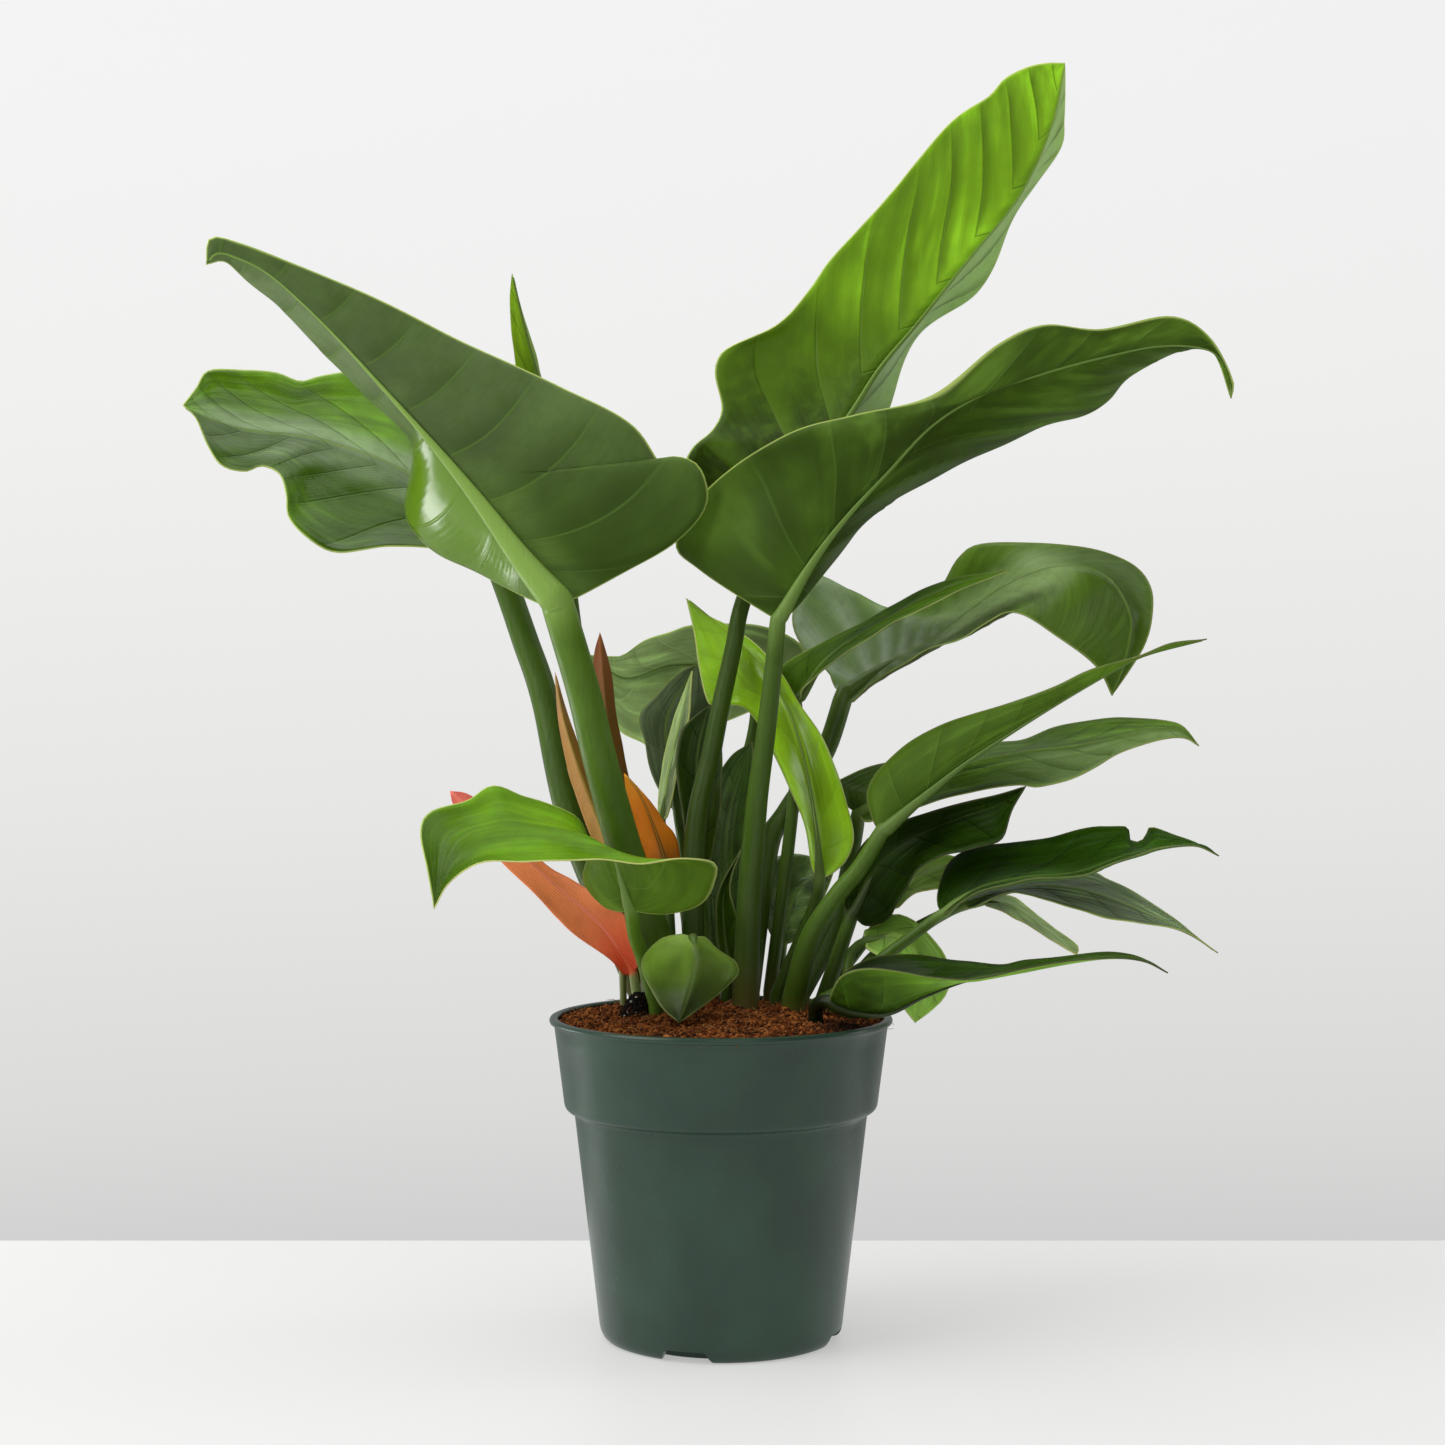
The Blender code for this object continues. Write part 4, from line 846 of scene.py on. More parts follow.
# %% Node group for a stalk
def stalk_group():
    tree, given = start_group("stalk along a path", {
        "Blade": ("Geometry", None), "Path": ("Object", None), "Sides": ("Int", 14),
        "Stalk finish": ("Material", None)})
    path = add_node(tree, "GeometryNodeObjectInfo", {"Object": given["Path"]},
                    transform_space="RELATIVE")
    curve = add_node(tree, "GeometryNodeMeshToCurve", {"Mesh": path.outputs["Geometry"]})
    ring = add_node(tree, "GeometryNodeCurvePrimitiveCircle",
                    {"Resolution": given["Sides"], "Radius": 1.0})
    around = add_node(tree, "GeometryNodeSplineParameter").outputs["Factor"]
    ring = store(tree, ring.outputs[0], "around", around, "POINT")
    tube = add_node(tree, "GeometryNodeCurveToMesh",
                    {"Curve": curve.outputs[0], "Profile Curve": ring.outputs[0],
                     "Scale": stored(tree, "half_width"), "Fill Caps": True})
    upward = stored(tree, "upward", "FLOAT_VECTOR")
    reach = add_node(tree, "ShaderNodeVectorMath",
                     {0: add_node(tree, "GeometryNodeInputPosition").outputs[0],
                      1: stored(tree, "centre", "FLOAT_VECTOR")}, operation="SUBTRACT")
    over = add_node(tree, "ShaderNodeVectorMath", {0: reach.outputs[0], 1: upward},
                    operation="DOT_PRODUCT")
    shrink = product(tree, over.outputs["Value"], stored(tree, "flatness"))
    push = add_node(tree, "ShaderNodeVectorMath", {0: upward, "Scale": shrink}, operation="SCALE")
    flat = add_node(tree, "GeometryNodeSetPosition",
                    {"Geometry": tube.outputs[0], "Offset": push.outputs[0]})
    round_tube = add_node(tree, "GeometryNodeSetShadeSmooth", {"Geometry": flat.outputs[0]})
    joined = tree.nodes.new("GeometryNodeJoinGeometry")
    for piece in (round_tube.outputs[0], given["Blade"]):
        tree.links.new(piece, joined.inputs[0])
    return end_group(tree, joined.outputs[0], given["Stalk finish"], stored(tree, "on_stalk"))


STALK_GROUP = stalk_group()
print("stalk group has", len(STALK_GROUP.nodes), "nodes")

# %% The path of a stalk
PEG_BOTTOM = 136 * MM
PEG_TOP = 151 * MM
STALK_STEP = 4 * MM
LEAST_STATIONS = 5
RIB_TIP = 0.5
RIB_FLATNESS = 0.5
RIB_FLAT_FROM = 0.2
RIB_SINK = (0.35, 0.5)  # share of its half width under the blade: at the base, and more after it


def stalk_path(name, leaf, look, lines):
    """The path's mesh: up from the soil to the blade, then under the blade to its tip."""
    rib = lines[0]
    x, y = (millimetres * MM for millimetres in leaf["root"])
    route = np.vstack(((x, y, PEG_TOP), seen_at(leaf["stalk"]), rib[0]))
    count = max(LEAST_STATIONS, round(travelled(route)[-1] / STALK_STEP))
    free = smooth_line(route, count)
    share = np.linspace(0, 1, count)
    wide = np.interp(share, np.linspace(0, 1, len(leaf["radii"])), leaf["radii"])
    normals = row_normals(*lines)[1:-1]
    place = np.linspace(0, 1, len(rib))[1:-1]
    narrow = RIB_TIP + (leaf["radii"][-1] - RIB_TIP) * (1 - place) ** look["rib_taper"]
    flat = between(place, 0, RIB_FLAT_FROM)
    pressed = RIB_FLATNESS * flat
    sink = RIB_SINK[0] + RIB_SINK[1] * flat
    under = rib[1:-1] - normals * (sink * (1 - pressed) * narrow * MM)[:, None]
    line = np.vstack(((x, y, PEG_BOTTOM), free, under))
    mesh = chain_mesh(f"path_{name}", line.tolist())
    run = travelled(line)
    for fact_name, values in {
            "half_width": np.concatenate((wide[:1], wide, narrow)) * MM,
            "flatness": -np.concatenate((np.zeros(count + 1), pressed)),
            "centre": line,
            "upward": np.vstack((np.repeat(normals[:1], count + 1, axis=0), normals)),
            "stalk_along": run / run[count],
            "on_stalk": np.ones(len(line))}.items():
        keep_fact(mesh, fact_name, values)
    return add_object(f"path_{name}", mesh)


# %% [markdown]
# ## The greens
# A young leaf is yellow green, and it darkens as it gets older. One number from 0 (old) to 1
# (young) therefore picks each leaf's green, from four listed colours. The lower side is paler and
# greyer than the upper side, because it has no wax on it.

# %% Colour of a leaf from its age
GREENS = {0.0: (0.012, 0.032, 0.0015), 0.33: (0.042, 0.095, 0.003), 0.66: (0.12, 0.27, 0.004),
          1.0: (0.34, 0.66, 0.02)}
UNDERSIDE_GREY = np.array((0.06, 0.08, 0.02))
RIB_GREEN = np.array((0.2, 0.33, 0.06))
MARGIN_AND_HIGHLIGHT_GREEN = np.array((0.42, 0.52, 0.14))
LOBE_PAINTED_LIGHT_GREEN = np.array((0.15, 0.3, 0.005))
PAINTED_SHEEN_STRIP_GREEN = np.array((0.27, 0.4, 0.14))
PAINTED_SHEEN_GREY = np.array((0.42, 0.52, 0.35))


def leaf_green(fresh):
    stops = np.array(list(GREENS.values()))
    return np.array([np.interp(fresh, list(GREENS), stops[:, channel]) for channel in range(3)])


def dulled(colour, share, warmth):
    """The colour with less strength, for a greyer leaf, or with a warmer tone."""
    colour = colour * np.array((1 + warmth, 1.0, 1 - warmth))
    return colour * (1 - share) + colour[1] * share * np.array((0.9, 1.0, 0.85))


def rgba(colour):
    return (*(float(channel) for channel in colour), 1.0)


# %% [markdown]
# ## What is stored, and layers of colour
# The finishes read what the mesh stores: the vein number, the place along the leaf from 0 to 1, the
# distances to the midrib and the margin in mm, and which half it is. A finish is built up in
# layers, as a painter would do it: each layer is a mask, its strength and its colour.

# %% Helpers for layers
def fact(tree, name):
    return add_node(tree, "ShaderNodeAttribute", attribute_name=name).outputs["Fac"]


def shade(tree, colour, mask, tone):
    """Makes a colour lighter or darker by the tone, where the mask is near one."""
    made = add_node(tree, "ShaderNodeMix", {0: mask, 6: colour, 7: (tone, tone, tone, 1.0)},
                    data_type="RGBA", blend_type="MULTIPLY")
    return made.outputs[2]


def cover(tree, colour, *layers):
    """Lays colours over what is there, each one where its mask is near one."""
    for mask, strength, over in layers:
        colour = tint(tree, product(tree, mask, strength), colour, rgba(over))
    return colour


def stretch(tree, along, start, end, soft):
    """A mask that is one between two places along the leaf, with soft ends."""
    return product(tree, fade(tree, along, start - soft, start),
                   fade(tree, along, end, end + soft, 1.0, 0.0))


def margin_colour(green, strength, brightest):
    """The pale border of a blade, partly a painted highlight along the rim, paler on a paler leaf."""
    return np.minimum(MARGIN_AND_HIGHLIGHT_GREEN * (0.1 + 2.6 * green[1]) * strength, brightest)


# %% [markdown]
# ## Finish of the blade
# The upper side is a smooth waxy skin, the lower side a matt one. The side veins are sunken lines
# above and raised ones below, with finer ones between them. Beside each vein a groove is painted
# darker, as painted shade, and above the vein itself too. The midrib is a paler line, and the
# margin is a thin pale border, partly a painted highlight where the rim catches light. Streaks are
# painted: the dark ones are painted shade along folds, the pale ones a painted sheen on the wax.
# Some leaves have more: painted shade on a dark foot where others shade them, or on a dark tip, a
# band of painted sheen beside the midrib, painted grey highlights near the foot, a painted sheen on
# the right half towards the tip, a grey tip of painted sheen, or one glossy lobe painted a brighter
# green, as where light shines through it. All of these are placed by what the blade stores, so
# they follow the leaf when it bends.

# %% Blade finishes
VEIN_WIDTH = 0.035  # in vein numbers, where the next vein is one further
GROOVE_WIDTH = 0.45
FINE_VEINS = 9.0
VEIN_RELIEF = 0.00032
PATCHES, MOTTLE = (18, 3.0), (150, 3.0)  # scale and detail of the noise
STREAK_SCALE = 1.5
BAND_ENDS = 0.14
LOBE_ENDS = 0.07
LOWER_ROUGHNESS = 0.5
LOWER_SHINE = 0.07
LOBE_SHINE = (0.1, 0.45)
FLESH = {"Subsurface Weight": 0.35, "Subsurface Radius": (0.7, 1.0, 0.1), "Subsurface Scale": 0.0012}


def streak_noise(tree, look, number, along, across, right_half):
    """Noise drawn out along the side veins or along the leaf."""
    if look["streaks_follow_veins"]:
        first, second = product(tree, number, 1.1), product(tree, across, 0.9)
    else:
        first, second = product(tree, along, 2.2), product(tree, across, 5)
    place = add_node(tree, "ShaderNodeCombineXYZ", {0: first, 1: second, 2: right_half}).outputs[0]
    return add_node(tree, "ShaderNodeTexNoise",
                    {"Vector": place, "Scale": STREAK_SCALE, "Detail": 2.0}).outputs[0]


def special_layers(tree, look, green, lower_side, along, rib_mm, to_vein, right_half):
    """The layers that only some leaves have, all painted sheen: band, grey highlights, right half, tip."""
    # painted sheen: a pale grey band beside the midrib
    if "band" in look:
        start, end, width, strength, tone, grey = look["band"]
        beside_rib = fade(tree, rib_mm, width * 0.4, width, 1.0, 0.0)
        band = product(tree, stretch(tree, along, start, end, BAND_ENDS), beside_rib)
        yield band, strength, dulled(green, grey, 0.1) * tone + 0.03
    # painted sheen: grey highlights between the veins near the foot of the upper side
    if "painted_grey_sheen" in look and not lower_side:
        painted_grey_sheen = product(tree, fade(tree, along, 0.16, 0.36, 1.0, 0.0),
                        fade(tree, to_vein, 0.0, 0.45, 1.0, 0.35),
                        fade(tree, right_half, 0, 1, 1.0, 0.5))
        yield painted_grey_sheen, look["painted_grey_sheen"], PAINTED_SHEEN_GREY
    # painted sheen: a pale strip over the right half towards the tip
    if "pale_right" in look:
        start, strength, tone = look["pale_right"]
        strip = product(tree, fade(tree, along, start, start + 0.3), right_half)
        yield strip, strength, PAINTED_SHEEN_STRIP_GREEN * tone
    # painted sheen: the blade is made greyer and paler towards its tip
    if "painted_sheen_tip" in look:
        yield fade(tree, along, 0.12, 0.55), look["painted_sheen_tip"], dulled(green, 0.5, 0.1) * 1.2


def blade_finish(name, look, green, lower_side=False):
    """Waxy upper side or matt lower side of a blade, with its veins, midrib and margin."""
    made, tree, shader = new_finish(name)
    number, along, right_half, rib_mm, edge_mm = (
        fact(tree, key) for key in ("vein_number", "along", "right_half", "rib_mm", "edge_mm"))
    across = calculate(tree, "DIVIDE", rib_mm, calculate(tree, "ADD", rib_mm, edge_mm))
    inner = fade(tree, across, 0.6, 1.0, 1.0, 0.3)
    to_vein = calculate(tree, "PINGPONG", number, 0.5)
    vein = product(tree, fade(tree, to_vein, 0.0, VEIN_WIDTH, 1.0, 0.0), inner)
    # painted shade: the groove just past each vein is painted darker
    groove = fade(tree, calculate(tree, "FRACT", number), 0.0, GROOVE_WIDTH, 1.0, 0.0)
    groove = product(tree, groove, inner, fade(tree, rib_mm, 1, 9))
    fine = fade(tree, calculate(tree, "PINGPONG", product(tree, number, FINE_VEINS), 0.5), 0.0, 0.5)
    patches, mottle = blotches(tree, *PATCHES), blotches(tree, *MOTTLE)
    streaks = streak_noise(tree, look, number, along, across, right_half)
    # painted shade over the foot of the blade, or over its tip when dark_from is above dark_to
    painted_dark_shade = fade(tree, along, look["dark_from"], look["dark_to"], 1.0, 0.0)
    rib_half = calculate(tree, "MULTIPLY_ADD", along, -1.2, 1.5)
    on_rib = fade(tree, calculate(tree, "SUBTRACT", rib_mm, rib_half), -0.5, 0.4, 1.0, 0.0)
    if lower_side:
        in_groove, on_vein = green * 0.5, (vein, look["pale_veins"], green * 1.5 + 0.02)
    else:
        # above, the sunken vein itself is painted darker, as painted shade in its crease
        in_groove, on_vein = green * 0.4, (vein, look["painted_crease_shade"], green * 0.35)

    colour = tint(tree, fade(tree, patches, *NOISE_SPAN), rgba(green * 0.5), rgba(green * 1.5))
    # painted light and shade: the right half is made lighter or darker, as the light falls on it
    colour = shade(tree, colour, right_half, look["right_tone"])
    colour = cover(
        tree, colour,
        (fade(tree, across, 0.1, 0.9), look["pale_edge"], green * 1.7),
        (fade(tree, along, 0.4, 1.0), look["pale_tip"], green * 1.7),
        # the dark streaks are painted shade along folds, the pale ones a painted sheen
        (fade(tree, streaks, 0.4, 0.7), look["streak"], green * 0.45),
        (fade(tree, streaks, 0.46, 0.3), look["painted_sheen"], green * 2 + 0.01),
        (painted_dark_shade, look["dark"], green * look["dark_tone"]),
        *special_layers(tree, look, green, lower_side, along, rib_mm, to_vein, right_half),
        (fade(tree, mottle, 0.4, 0.75), 0.25, green * 0.7),
        (groove, look["groove"], in_groove),
        on_vein,
        (fine, 0.06, green * 0.5),
        (on_rib, look["midrib"], RIB_GREEN * (0.35 + 2.6 * green[1])))

    roughness = LOWER_ROUGHNESS if lower_side else look["rough"]
    roughness = fade(tree, patches, 0.25, 0.75, roughness - 0.05, roughness + 0.07)
    shine = LOWER_SHINE if lower_side else look["shine"]
    if lower_side and "glossy_lobe_painted_light" in look:
        lobe = product(tree, stretch(tree, along, *look["glossy_lobe_painted_light"], LOBE_ENDS), right_half)
        # painted light: the glossy lobe is painted a brighter green, as where light shines through it
        colour = cover(tree, colour, (lobe, 0.85, LOBE_PAINTED_LIGHT_GREEN))
        roughness = calculate(tree, "MULTIPLY_ADD", lobe, -0.33, roughness)
        shine = fade(tree, lobe, 0.0, 1.0, *LOBE_SHINE)
    # the pale margin is partly the leaf's own border and partly a painted highlight where the rim catches
    # light
    on_edge = fade(tree, edge_mm, 0.2, 1.0, 1.0, 0.0)
    colour = cover(tree, colour, (on_edge, 0.75, margin_colour(green, look["margin"], 0.8)))
    dress(tree, shader, colour, roughness, shine)
    for key, value in FLESH.items():
        put(tree, shader, key, value)

    ridges = product(tree, vein, (0.7 if lower_side else -0.8) * look["ridges"])
    for bumps, height in ((fine, 0.07), (mottle, 0.25), (streaks, look["streak"] * 4)):
        ridges = calculate(tree, "MULTIPLY_ADD", bumps, height, ridges)
    relief(tree, shader, ridges, VEIN_RELIEF)
    return made


# %% [markdown]
# ## Finish of the stalks
# A stalk is a fleshy green bar with fine streaks along it and painted shade on one side. It is
# paler towards the blade, and its foot, where it leaves the crown, is often a little pink or brown.

# %% Stalk finish
STALK_STREAKS = (700, 3.0, (1, 1, 0.05))  # noise drawn out upwards
STALK_CLOUDS = 60
STALK_ROUGHNESS = (0.34, 0.46)
STALK_SHINE = 0.28
STALK_RELIEF = 0.0003
RIM_CLOUDS = 90
RIM_SURFACE = (0.45, 0.3)  # roughness and shine


def stalk_finish(name, colour, foot_colour, rib_colour):
    made, tree, shader = new_finish(name)
    along = fact(tree, "stalk_along")
    side = calculate(tree, "ABSOLUTE", calculate(tree, "SUBTRACT", fact(tree, "around"), 0.5))
    streaks = blotches(tree, *STALK_STREAKS)
    clouds = blotches(tree, STALK_CLOUDS)
    green = cover(
        tree, tint(tree, streaks, rgba(colour * 0.75), rgba(colour * 1.3)),
        (fade(tree, clouds, 0.45, 0.7), 0.3, colour * 0.6),
        (fade(tree, along, 0.2, 0.8, 1.0, 0.0), 0.45, colour * 0.4),
        # painted shade on one side of the stalk
        (fade(tree, side, 0.1, 0.3), 0.3, colour * 0.5),
        (fade(tree, along, 0.02, 0.22, 1.0, 0.0), 0.6, foot_colour),
        (fade(tree, along, 0.9, 1.03), 0.85, rib_colour))
    dress(tree, shader, green, fade(tree, clouds, *NOISE_SPAN, *STALK_ROUGHNESS), STALK_SHINE)
    relief(tree, shader, streaks, STALK_RELIEF)
    return made


def rim_finish(name, green, margin):
    """The cut of the blade's edge, pale as the margin beside it, with its painted highlight."""
    made, tree, shader = new_finish(name)
    colour = margin_colour(green, margin, 0.65)
    mottle = fade(tree, blotches(tree, RIM_CLOUDS), *NOISE_SPAN)
    dress(tree, shader, tint(tree, mottle, rgba(colour * 0.8), rgba(colour * 1.15)), *RIM_SURFACE)
    return made


# %% [markdown]
# ## Making the leaves
# Each leaf takes its lines from the tables above and its look from the table below. There, upper
# and lower are the age of each side's green, and rough and shine are the gloss of the upper side.
# The rest is only named where it differs from the plain look. A band of painted sheen has its
# start, end, width in mm, strength, tone and grey, a painted sheen on the right half has its start,
# strength and tone, and a glossy lobe painted a brighter green has its start and end. The skin gets
# its wall from Solidify, which also gives the lower side and the rim their own finish. The stalk
# group then adds the stalk, and the result is copied to a plain mesh, with no modifier left.

# %% Age, gloss and veins of each leaf
PLAIN_LOOK = dict(
    forward=1.0, bend=0.5, spacing=24, tip_lean=0.0,  # how the side veins run, and mm between them
    quilt=1.0, ridges=1.0, rib_taper=3.2,  # relief between the veins, on them, and of the midrib
    # the right half's tone is painted light above one and painted shade below one
    grey=0.0, warm=0.0, right_tone=1.0,  # grey bloom, warmer tone, tone of the right half
    pale_edge=0.25, pale_tip=0.25,  # how much paler the blade gets towards them
    # dark streaks are painted shade along folds, and the pale sheen streaks a painted sheen on the wax
    streak=0.25, painted_sheen=0.3, streaks_follow_veins=False,  # dark and pale streaks in the wax
    # painted shade over the foot of the blade, or over its tip when dark_from is above dark_to
    dark=0.3, dark_from=0.0, dark_to=0.5, dark_tone=0.35,  # the dark foot of the blade
    # the darker colour beside a vein, and on a sunken vein above, is painted shade
    groove=0.4, painted_crease_shade=0.5, pale_veins=0.5,  # beside a vein, and the vein itself above and below
    # margin also sets the painted highlight along the rim
    midrib=0.7, margin=1.0, stalk=0.65, rib=0.6)  # how pale each of them is
LOOKS = {
    "tall_left_leaf": dict(
        upper=0.6, lower=0.46, rough=0.3, shine=0.4, forward=-0.25, bend=1.2, spacing=27, grey=0.04,
        pale_edge=0.5, pale_tip=0.5, streak=0.4, painted_sheen=0.35, streaks_follow_veins=True, dark=0.5,
        dark_from=0.1, dark_to=0.6, groove=0.45, midrib=0.9, margin=2.6, stalk=0.95, rib=1.35,
        band=(0.0, 0.28, 26, 0.18, 3.0, 0.2), pale_right=(0.4, 0.6, 1.0), painted_sheen_tip=0.6,
        glossy_lobe_painted_light=(0.13, 0.4)),
    "rear_left_leaf": dict(
        upper=0.54, lower=0.4, rough=0.28, shine=0.22, forward=2.0, bend=0, quilt=2, right_tone=2.0,
        pale_edge=0, pale_tip=0, streak=0.6, dark=0.5, dark_from=0.2, dark_to=0.8, painted_crease_shade=0.2, margin=1.8,
        rib=0.8, band=(0.3, 0.9, 18, 0.5, 1.7, 0.7)),
    "furled_left_leaf": dict(upper=0.72, lower=0.7, rough=0.4, shine=0.15, forward=3, warm=0.2),
    "low_left_leaf": dict(
        upper=0.66, lower=0.52, rough=0.3, shine=0.15, forward=1.2, quilt=0.2, ridges=0.1, rib_taper=9,
        pale_tip=0, streak=0.35, dark=0.75, dark_from=0.95, dark_to=0.62, dark_tone=0.25, groove=0,
        painted_crease_shade=0, midrib=0.12, margin=1.8, stalk=1.2, rib=0.9),
    "small_front_leaf": dict(
        upper=0.5, lower=0.5, rough=0.36, shine=0.2, forward=0.6, spacing=14, quilt=0.2, ridges=0.1,
        rib_taper=9, grey=0.1, warm=0.22, right_tone=2.0, pale_edge=0.1, pale_tip=0, streak=0.1,
        painted_sheen=0.1, dark=0.9, dark_from=0.95, dark_to=0.3, dark_tone=0.12, groove=0, painted_crease_shade=0, midrib=0.3,
        rib=0.5),
    "tall_right_leaf": dict(
        upper=0.86, lower=0.5, rough=0.38, shine=0.15, forward=1.3, bend=0.7, spacing=27, tip_lean=1.2,
        quilt=2, pale_tip=0.3, streak=0.5, painted_sheen=0.35, streaks_follow_veins=True, dark=0.95,
        dark_from=0.24, dark_to=0.66, dark_tone=0.08, groove=0.85, painted_crease_shade=0.6, midrib=0.95, stalk=0.5,
        rib=1.2, pale_right=(0.12, 0.9, 1.6)),
    "broad_right_leaf": dict(
        upper=0.4, lower=0.4, rough=0.4, shine=0.25, forward=1.7, bend=0.2, spacing=32, quilt=3,
        rib_taper=7, pale_edge=0.5, streak=0.8, painted_sheen=0.5, streaks_follow_veins=True, dark=0.4,
        dark_to=0.7, pale_veins=0.25, margin=2.2, rib=0.8),
    "young_centre_leaf": dict(
        upper=1.0, lower=0.6, rough=0.25, shine=0.45, forward=1.8, quilt=0.4, ridges=0.3, rib_taper=8,
        warm=0.06, pale_edge=0.6, pale_tip=0, streak=0.1, painted_sheen=0.2, dark=0.35, dark_from=1.0,
        dark_tone=0.45, groove=0.2, painted_crease_shade=0.05, midrib=0.15, margin=1.3),
    "arching_right_leaf": dict(
        upper=0.52, lower=0.35, rough=0.28, shine=0.12, forward=1.5, spacing=9, quilt=1.1, ridges=0.3,
        rib_taper=6, grey=0.08, warm=0.12, right_tone=0.8, pale_edge=0.5, streak=0.3,
        streaks_follow_veins=True, dark=0.6, dark_from=0.76, dark_to=0.55, groove=0.1, painted_crease_shade=0.1,
        band=(0.34, 0.54, 22, 0.7, 3.4, 0.35), painted_grey_sheen=0.85),
    "narrow_right_leaf": dict(upper=0.56, lower=0.35, rough=0.4, shine=0.08, forward=3, streak=0.6),
    "long_right_leaf": dict(
        upper=0.42, lower=0.46, rough=0.4, shine=0.2, forward=2, rib_taper=5, pale_veins=0.3, margin=0.7,
        stalk=0.8),
    "middle_right_leaf": dict(
        upper=0.58, lower=0.42, rough=0.3, shine=0.12, forward=2, quilt=2, grey=0.08, warm=0.05,
        right_tone=0.3, streak=0.7, painted_sheen=0.4, dark=0.9, dark_to=0.7, painted_crease_shade=0.2,
        pale_right=(0.36, 0.6, 1.1)),
    "shaded_right_leaf": dict(
        upper=0.0, lower=0.3, rough=0.32, shine=0.05, streak=0.7, painted_sheen=0.1, midrib=0.15, margin=0.5,
        rib=0.15),
    "notched_right_leaf": dict(
        upper=0.22, lower=0.4, rough=0.32, shine=0.08, forward=1.8, warm=-0.2, streak=0.6, rib=0.8),
    "lower_right_leaf": dict(
        upper=0.7, lower=0.4, rough=0.3, shine=0.4, forward=2, grey=0.5, warm=0.06, right_tone=0.5,
        streak=0.8, painted_sheen=0.6),
    "slim_right_leaf": dict(upper=0.95, lower=0.6, rough=0.36, shine=0.3, forward=2, grey=0.45, warm=0.2),
    # painted shade: this leaf's stalk and midrib are made nearly black, as in shadow under its blade
    "rim_right_leaf": dict(
        upper=0.2, lower=0.78, rough=0.35, shine=0.12, forward=1.8, warm=-0.1, streak=0.6, painted_sheen=0.2,
        dark=0.95, dark_from=0.12, dark_to=0.42, dark_tone=0.1, painted_crease_shade=0.1, pale_veins=0.1, margin=0.5,
        stalk=0.06, rib=0.12),
    "hanging_right_leaf": dict(upper=0.86, lower=0.7, rough=0.35, shine=0.15, grey=0.15),
    "small_right_leaf": dict(upper=1.0, lower=0.7, rough=0.35, shine=0.15, grey=0.2, warm=0.2),
    "low_centre_leaf": dict(
        upper=0.68, lower=0.3, rough=0.26, shine=0.45, forward=0.6, spacing=12, quilt=3, grey=0.3,
        warm=0.1, streak=0.9, painted_sheen=0.9, streaks_follow_veins=True),
    "wavy_centre_leaf": dict(upper=0.32, lower=0.4, rough=0.35, shine=0.25),
    "rear_centre_leaf": dict(
        upper=0.3, lower=0.9, rough=0.35, shine=0.3, forward=1.2, grey=0.4, upper_grey=0.05, warm=0.12,
        streak=0.4, painted_sheen=0.5),
    "dark_centre_leaf": dict(
        upper=0.2, lower=0.42, rough=0.4, shine=0.3, grey=0.5, upper_grey=0.1, streak=0.5),
    "folded_centre_leaf": dict(
        upper=0.9, lower=0.6, rough=0.4, shine=0.2, forward=3, grey=0.45, warm=0.15, right_tone=0.2,
        painted_sheen=0.5),
    "upright_centre_leaf": dict(upper=0.16, lower=0.3, rough=0.35, shine=0.2),
    "inner_centre_leaf": dict(
        upper=0.4, lower=0.3, rough=0.3, shine=0.35, spacing=14, quilt=2.5, grey=0.1, streak=0.8,
        painted_sheen=0.6),
}
STALK_GREEN = np.array((0.1, 0.2, 0.012))
FOOT_BROWN = np.array((0.16, 0.1, 0.03))
SKIN = 0.6 * MM
THICK_STALK = 3
SIDES_THICK, SIDES_THIN = 14, 10


def finished_leaf(name, leaf, look, seed, finishes):
    """One leaf or sheath as a plain mesh object: skin, rim, stalk and midrib."""
    lines = blade_lines(leaf)
    draft = add_object(f"draft_{name}", skin_mesh(name, *blade_points(leaf, look, lines, seed)))
    for finish in finishes[:3]:
        draft.data.materials.append(finish)
    wall = draft.modifiers.new("wall", "SOLIDIFY")
    wall.thickness = SKIN
    wall.offset = 0
    wall.material_offset = 1
    wall.material_offset_rim = 2
    path = stalk_path(name, leaf, look, lines)
    stalk = draft.modifiers.new("stalk", "NODES")
    stalk.node_group = STALK_GROUP
    sides = SIDES_THICK if leaf["radii"][0] > THICK_STALK else SIDES_THIN
    set_inputs(stalk, path=path, sides=sides, stalk_finish=finishes[3])
    made = add_object(f"fine_{name}", worked_mesh(draft))
    for used in (path, draft):
        bpy.data.objects.remove(used)
    made.data.name = made.name
    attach(made, "root")
    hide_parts(name)
    return made


def count_triangles(made):
    return sum(len(polygon.vertices) - 2 for polygon in made.data.polygons)


# %% [markdown]
# ## Growing the leaves
# The lower side is paler and greyer than the upper side, more so on a young leaf. A leaf can also
# be greyer, with a duller green, or have a warmer or colder tone than its age gives it.

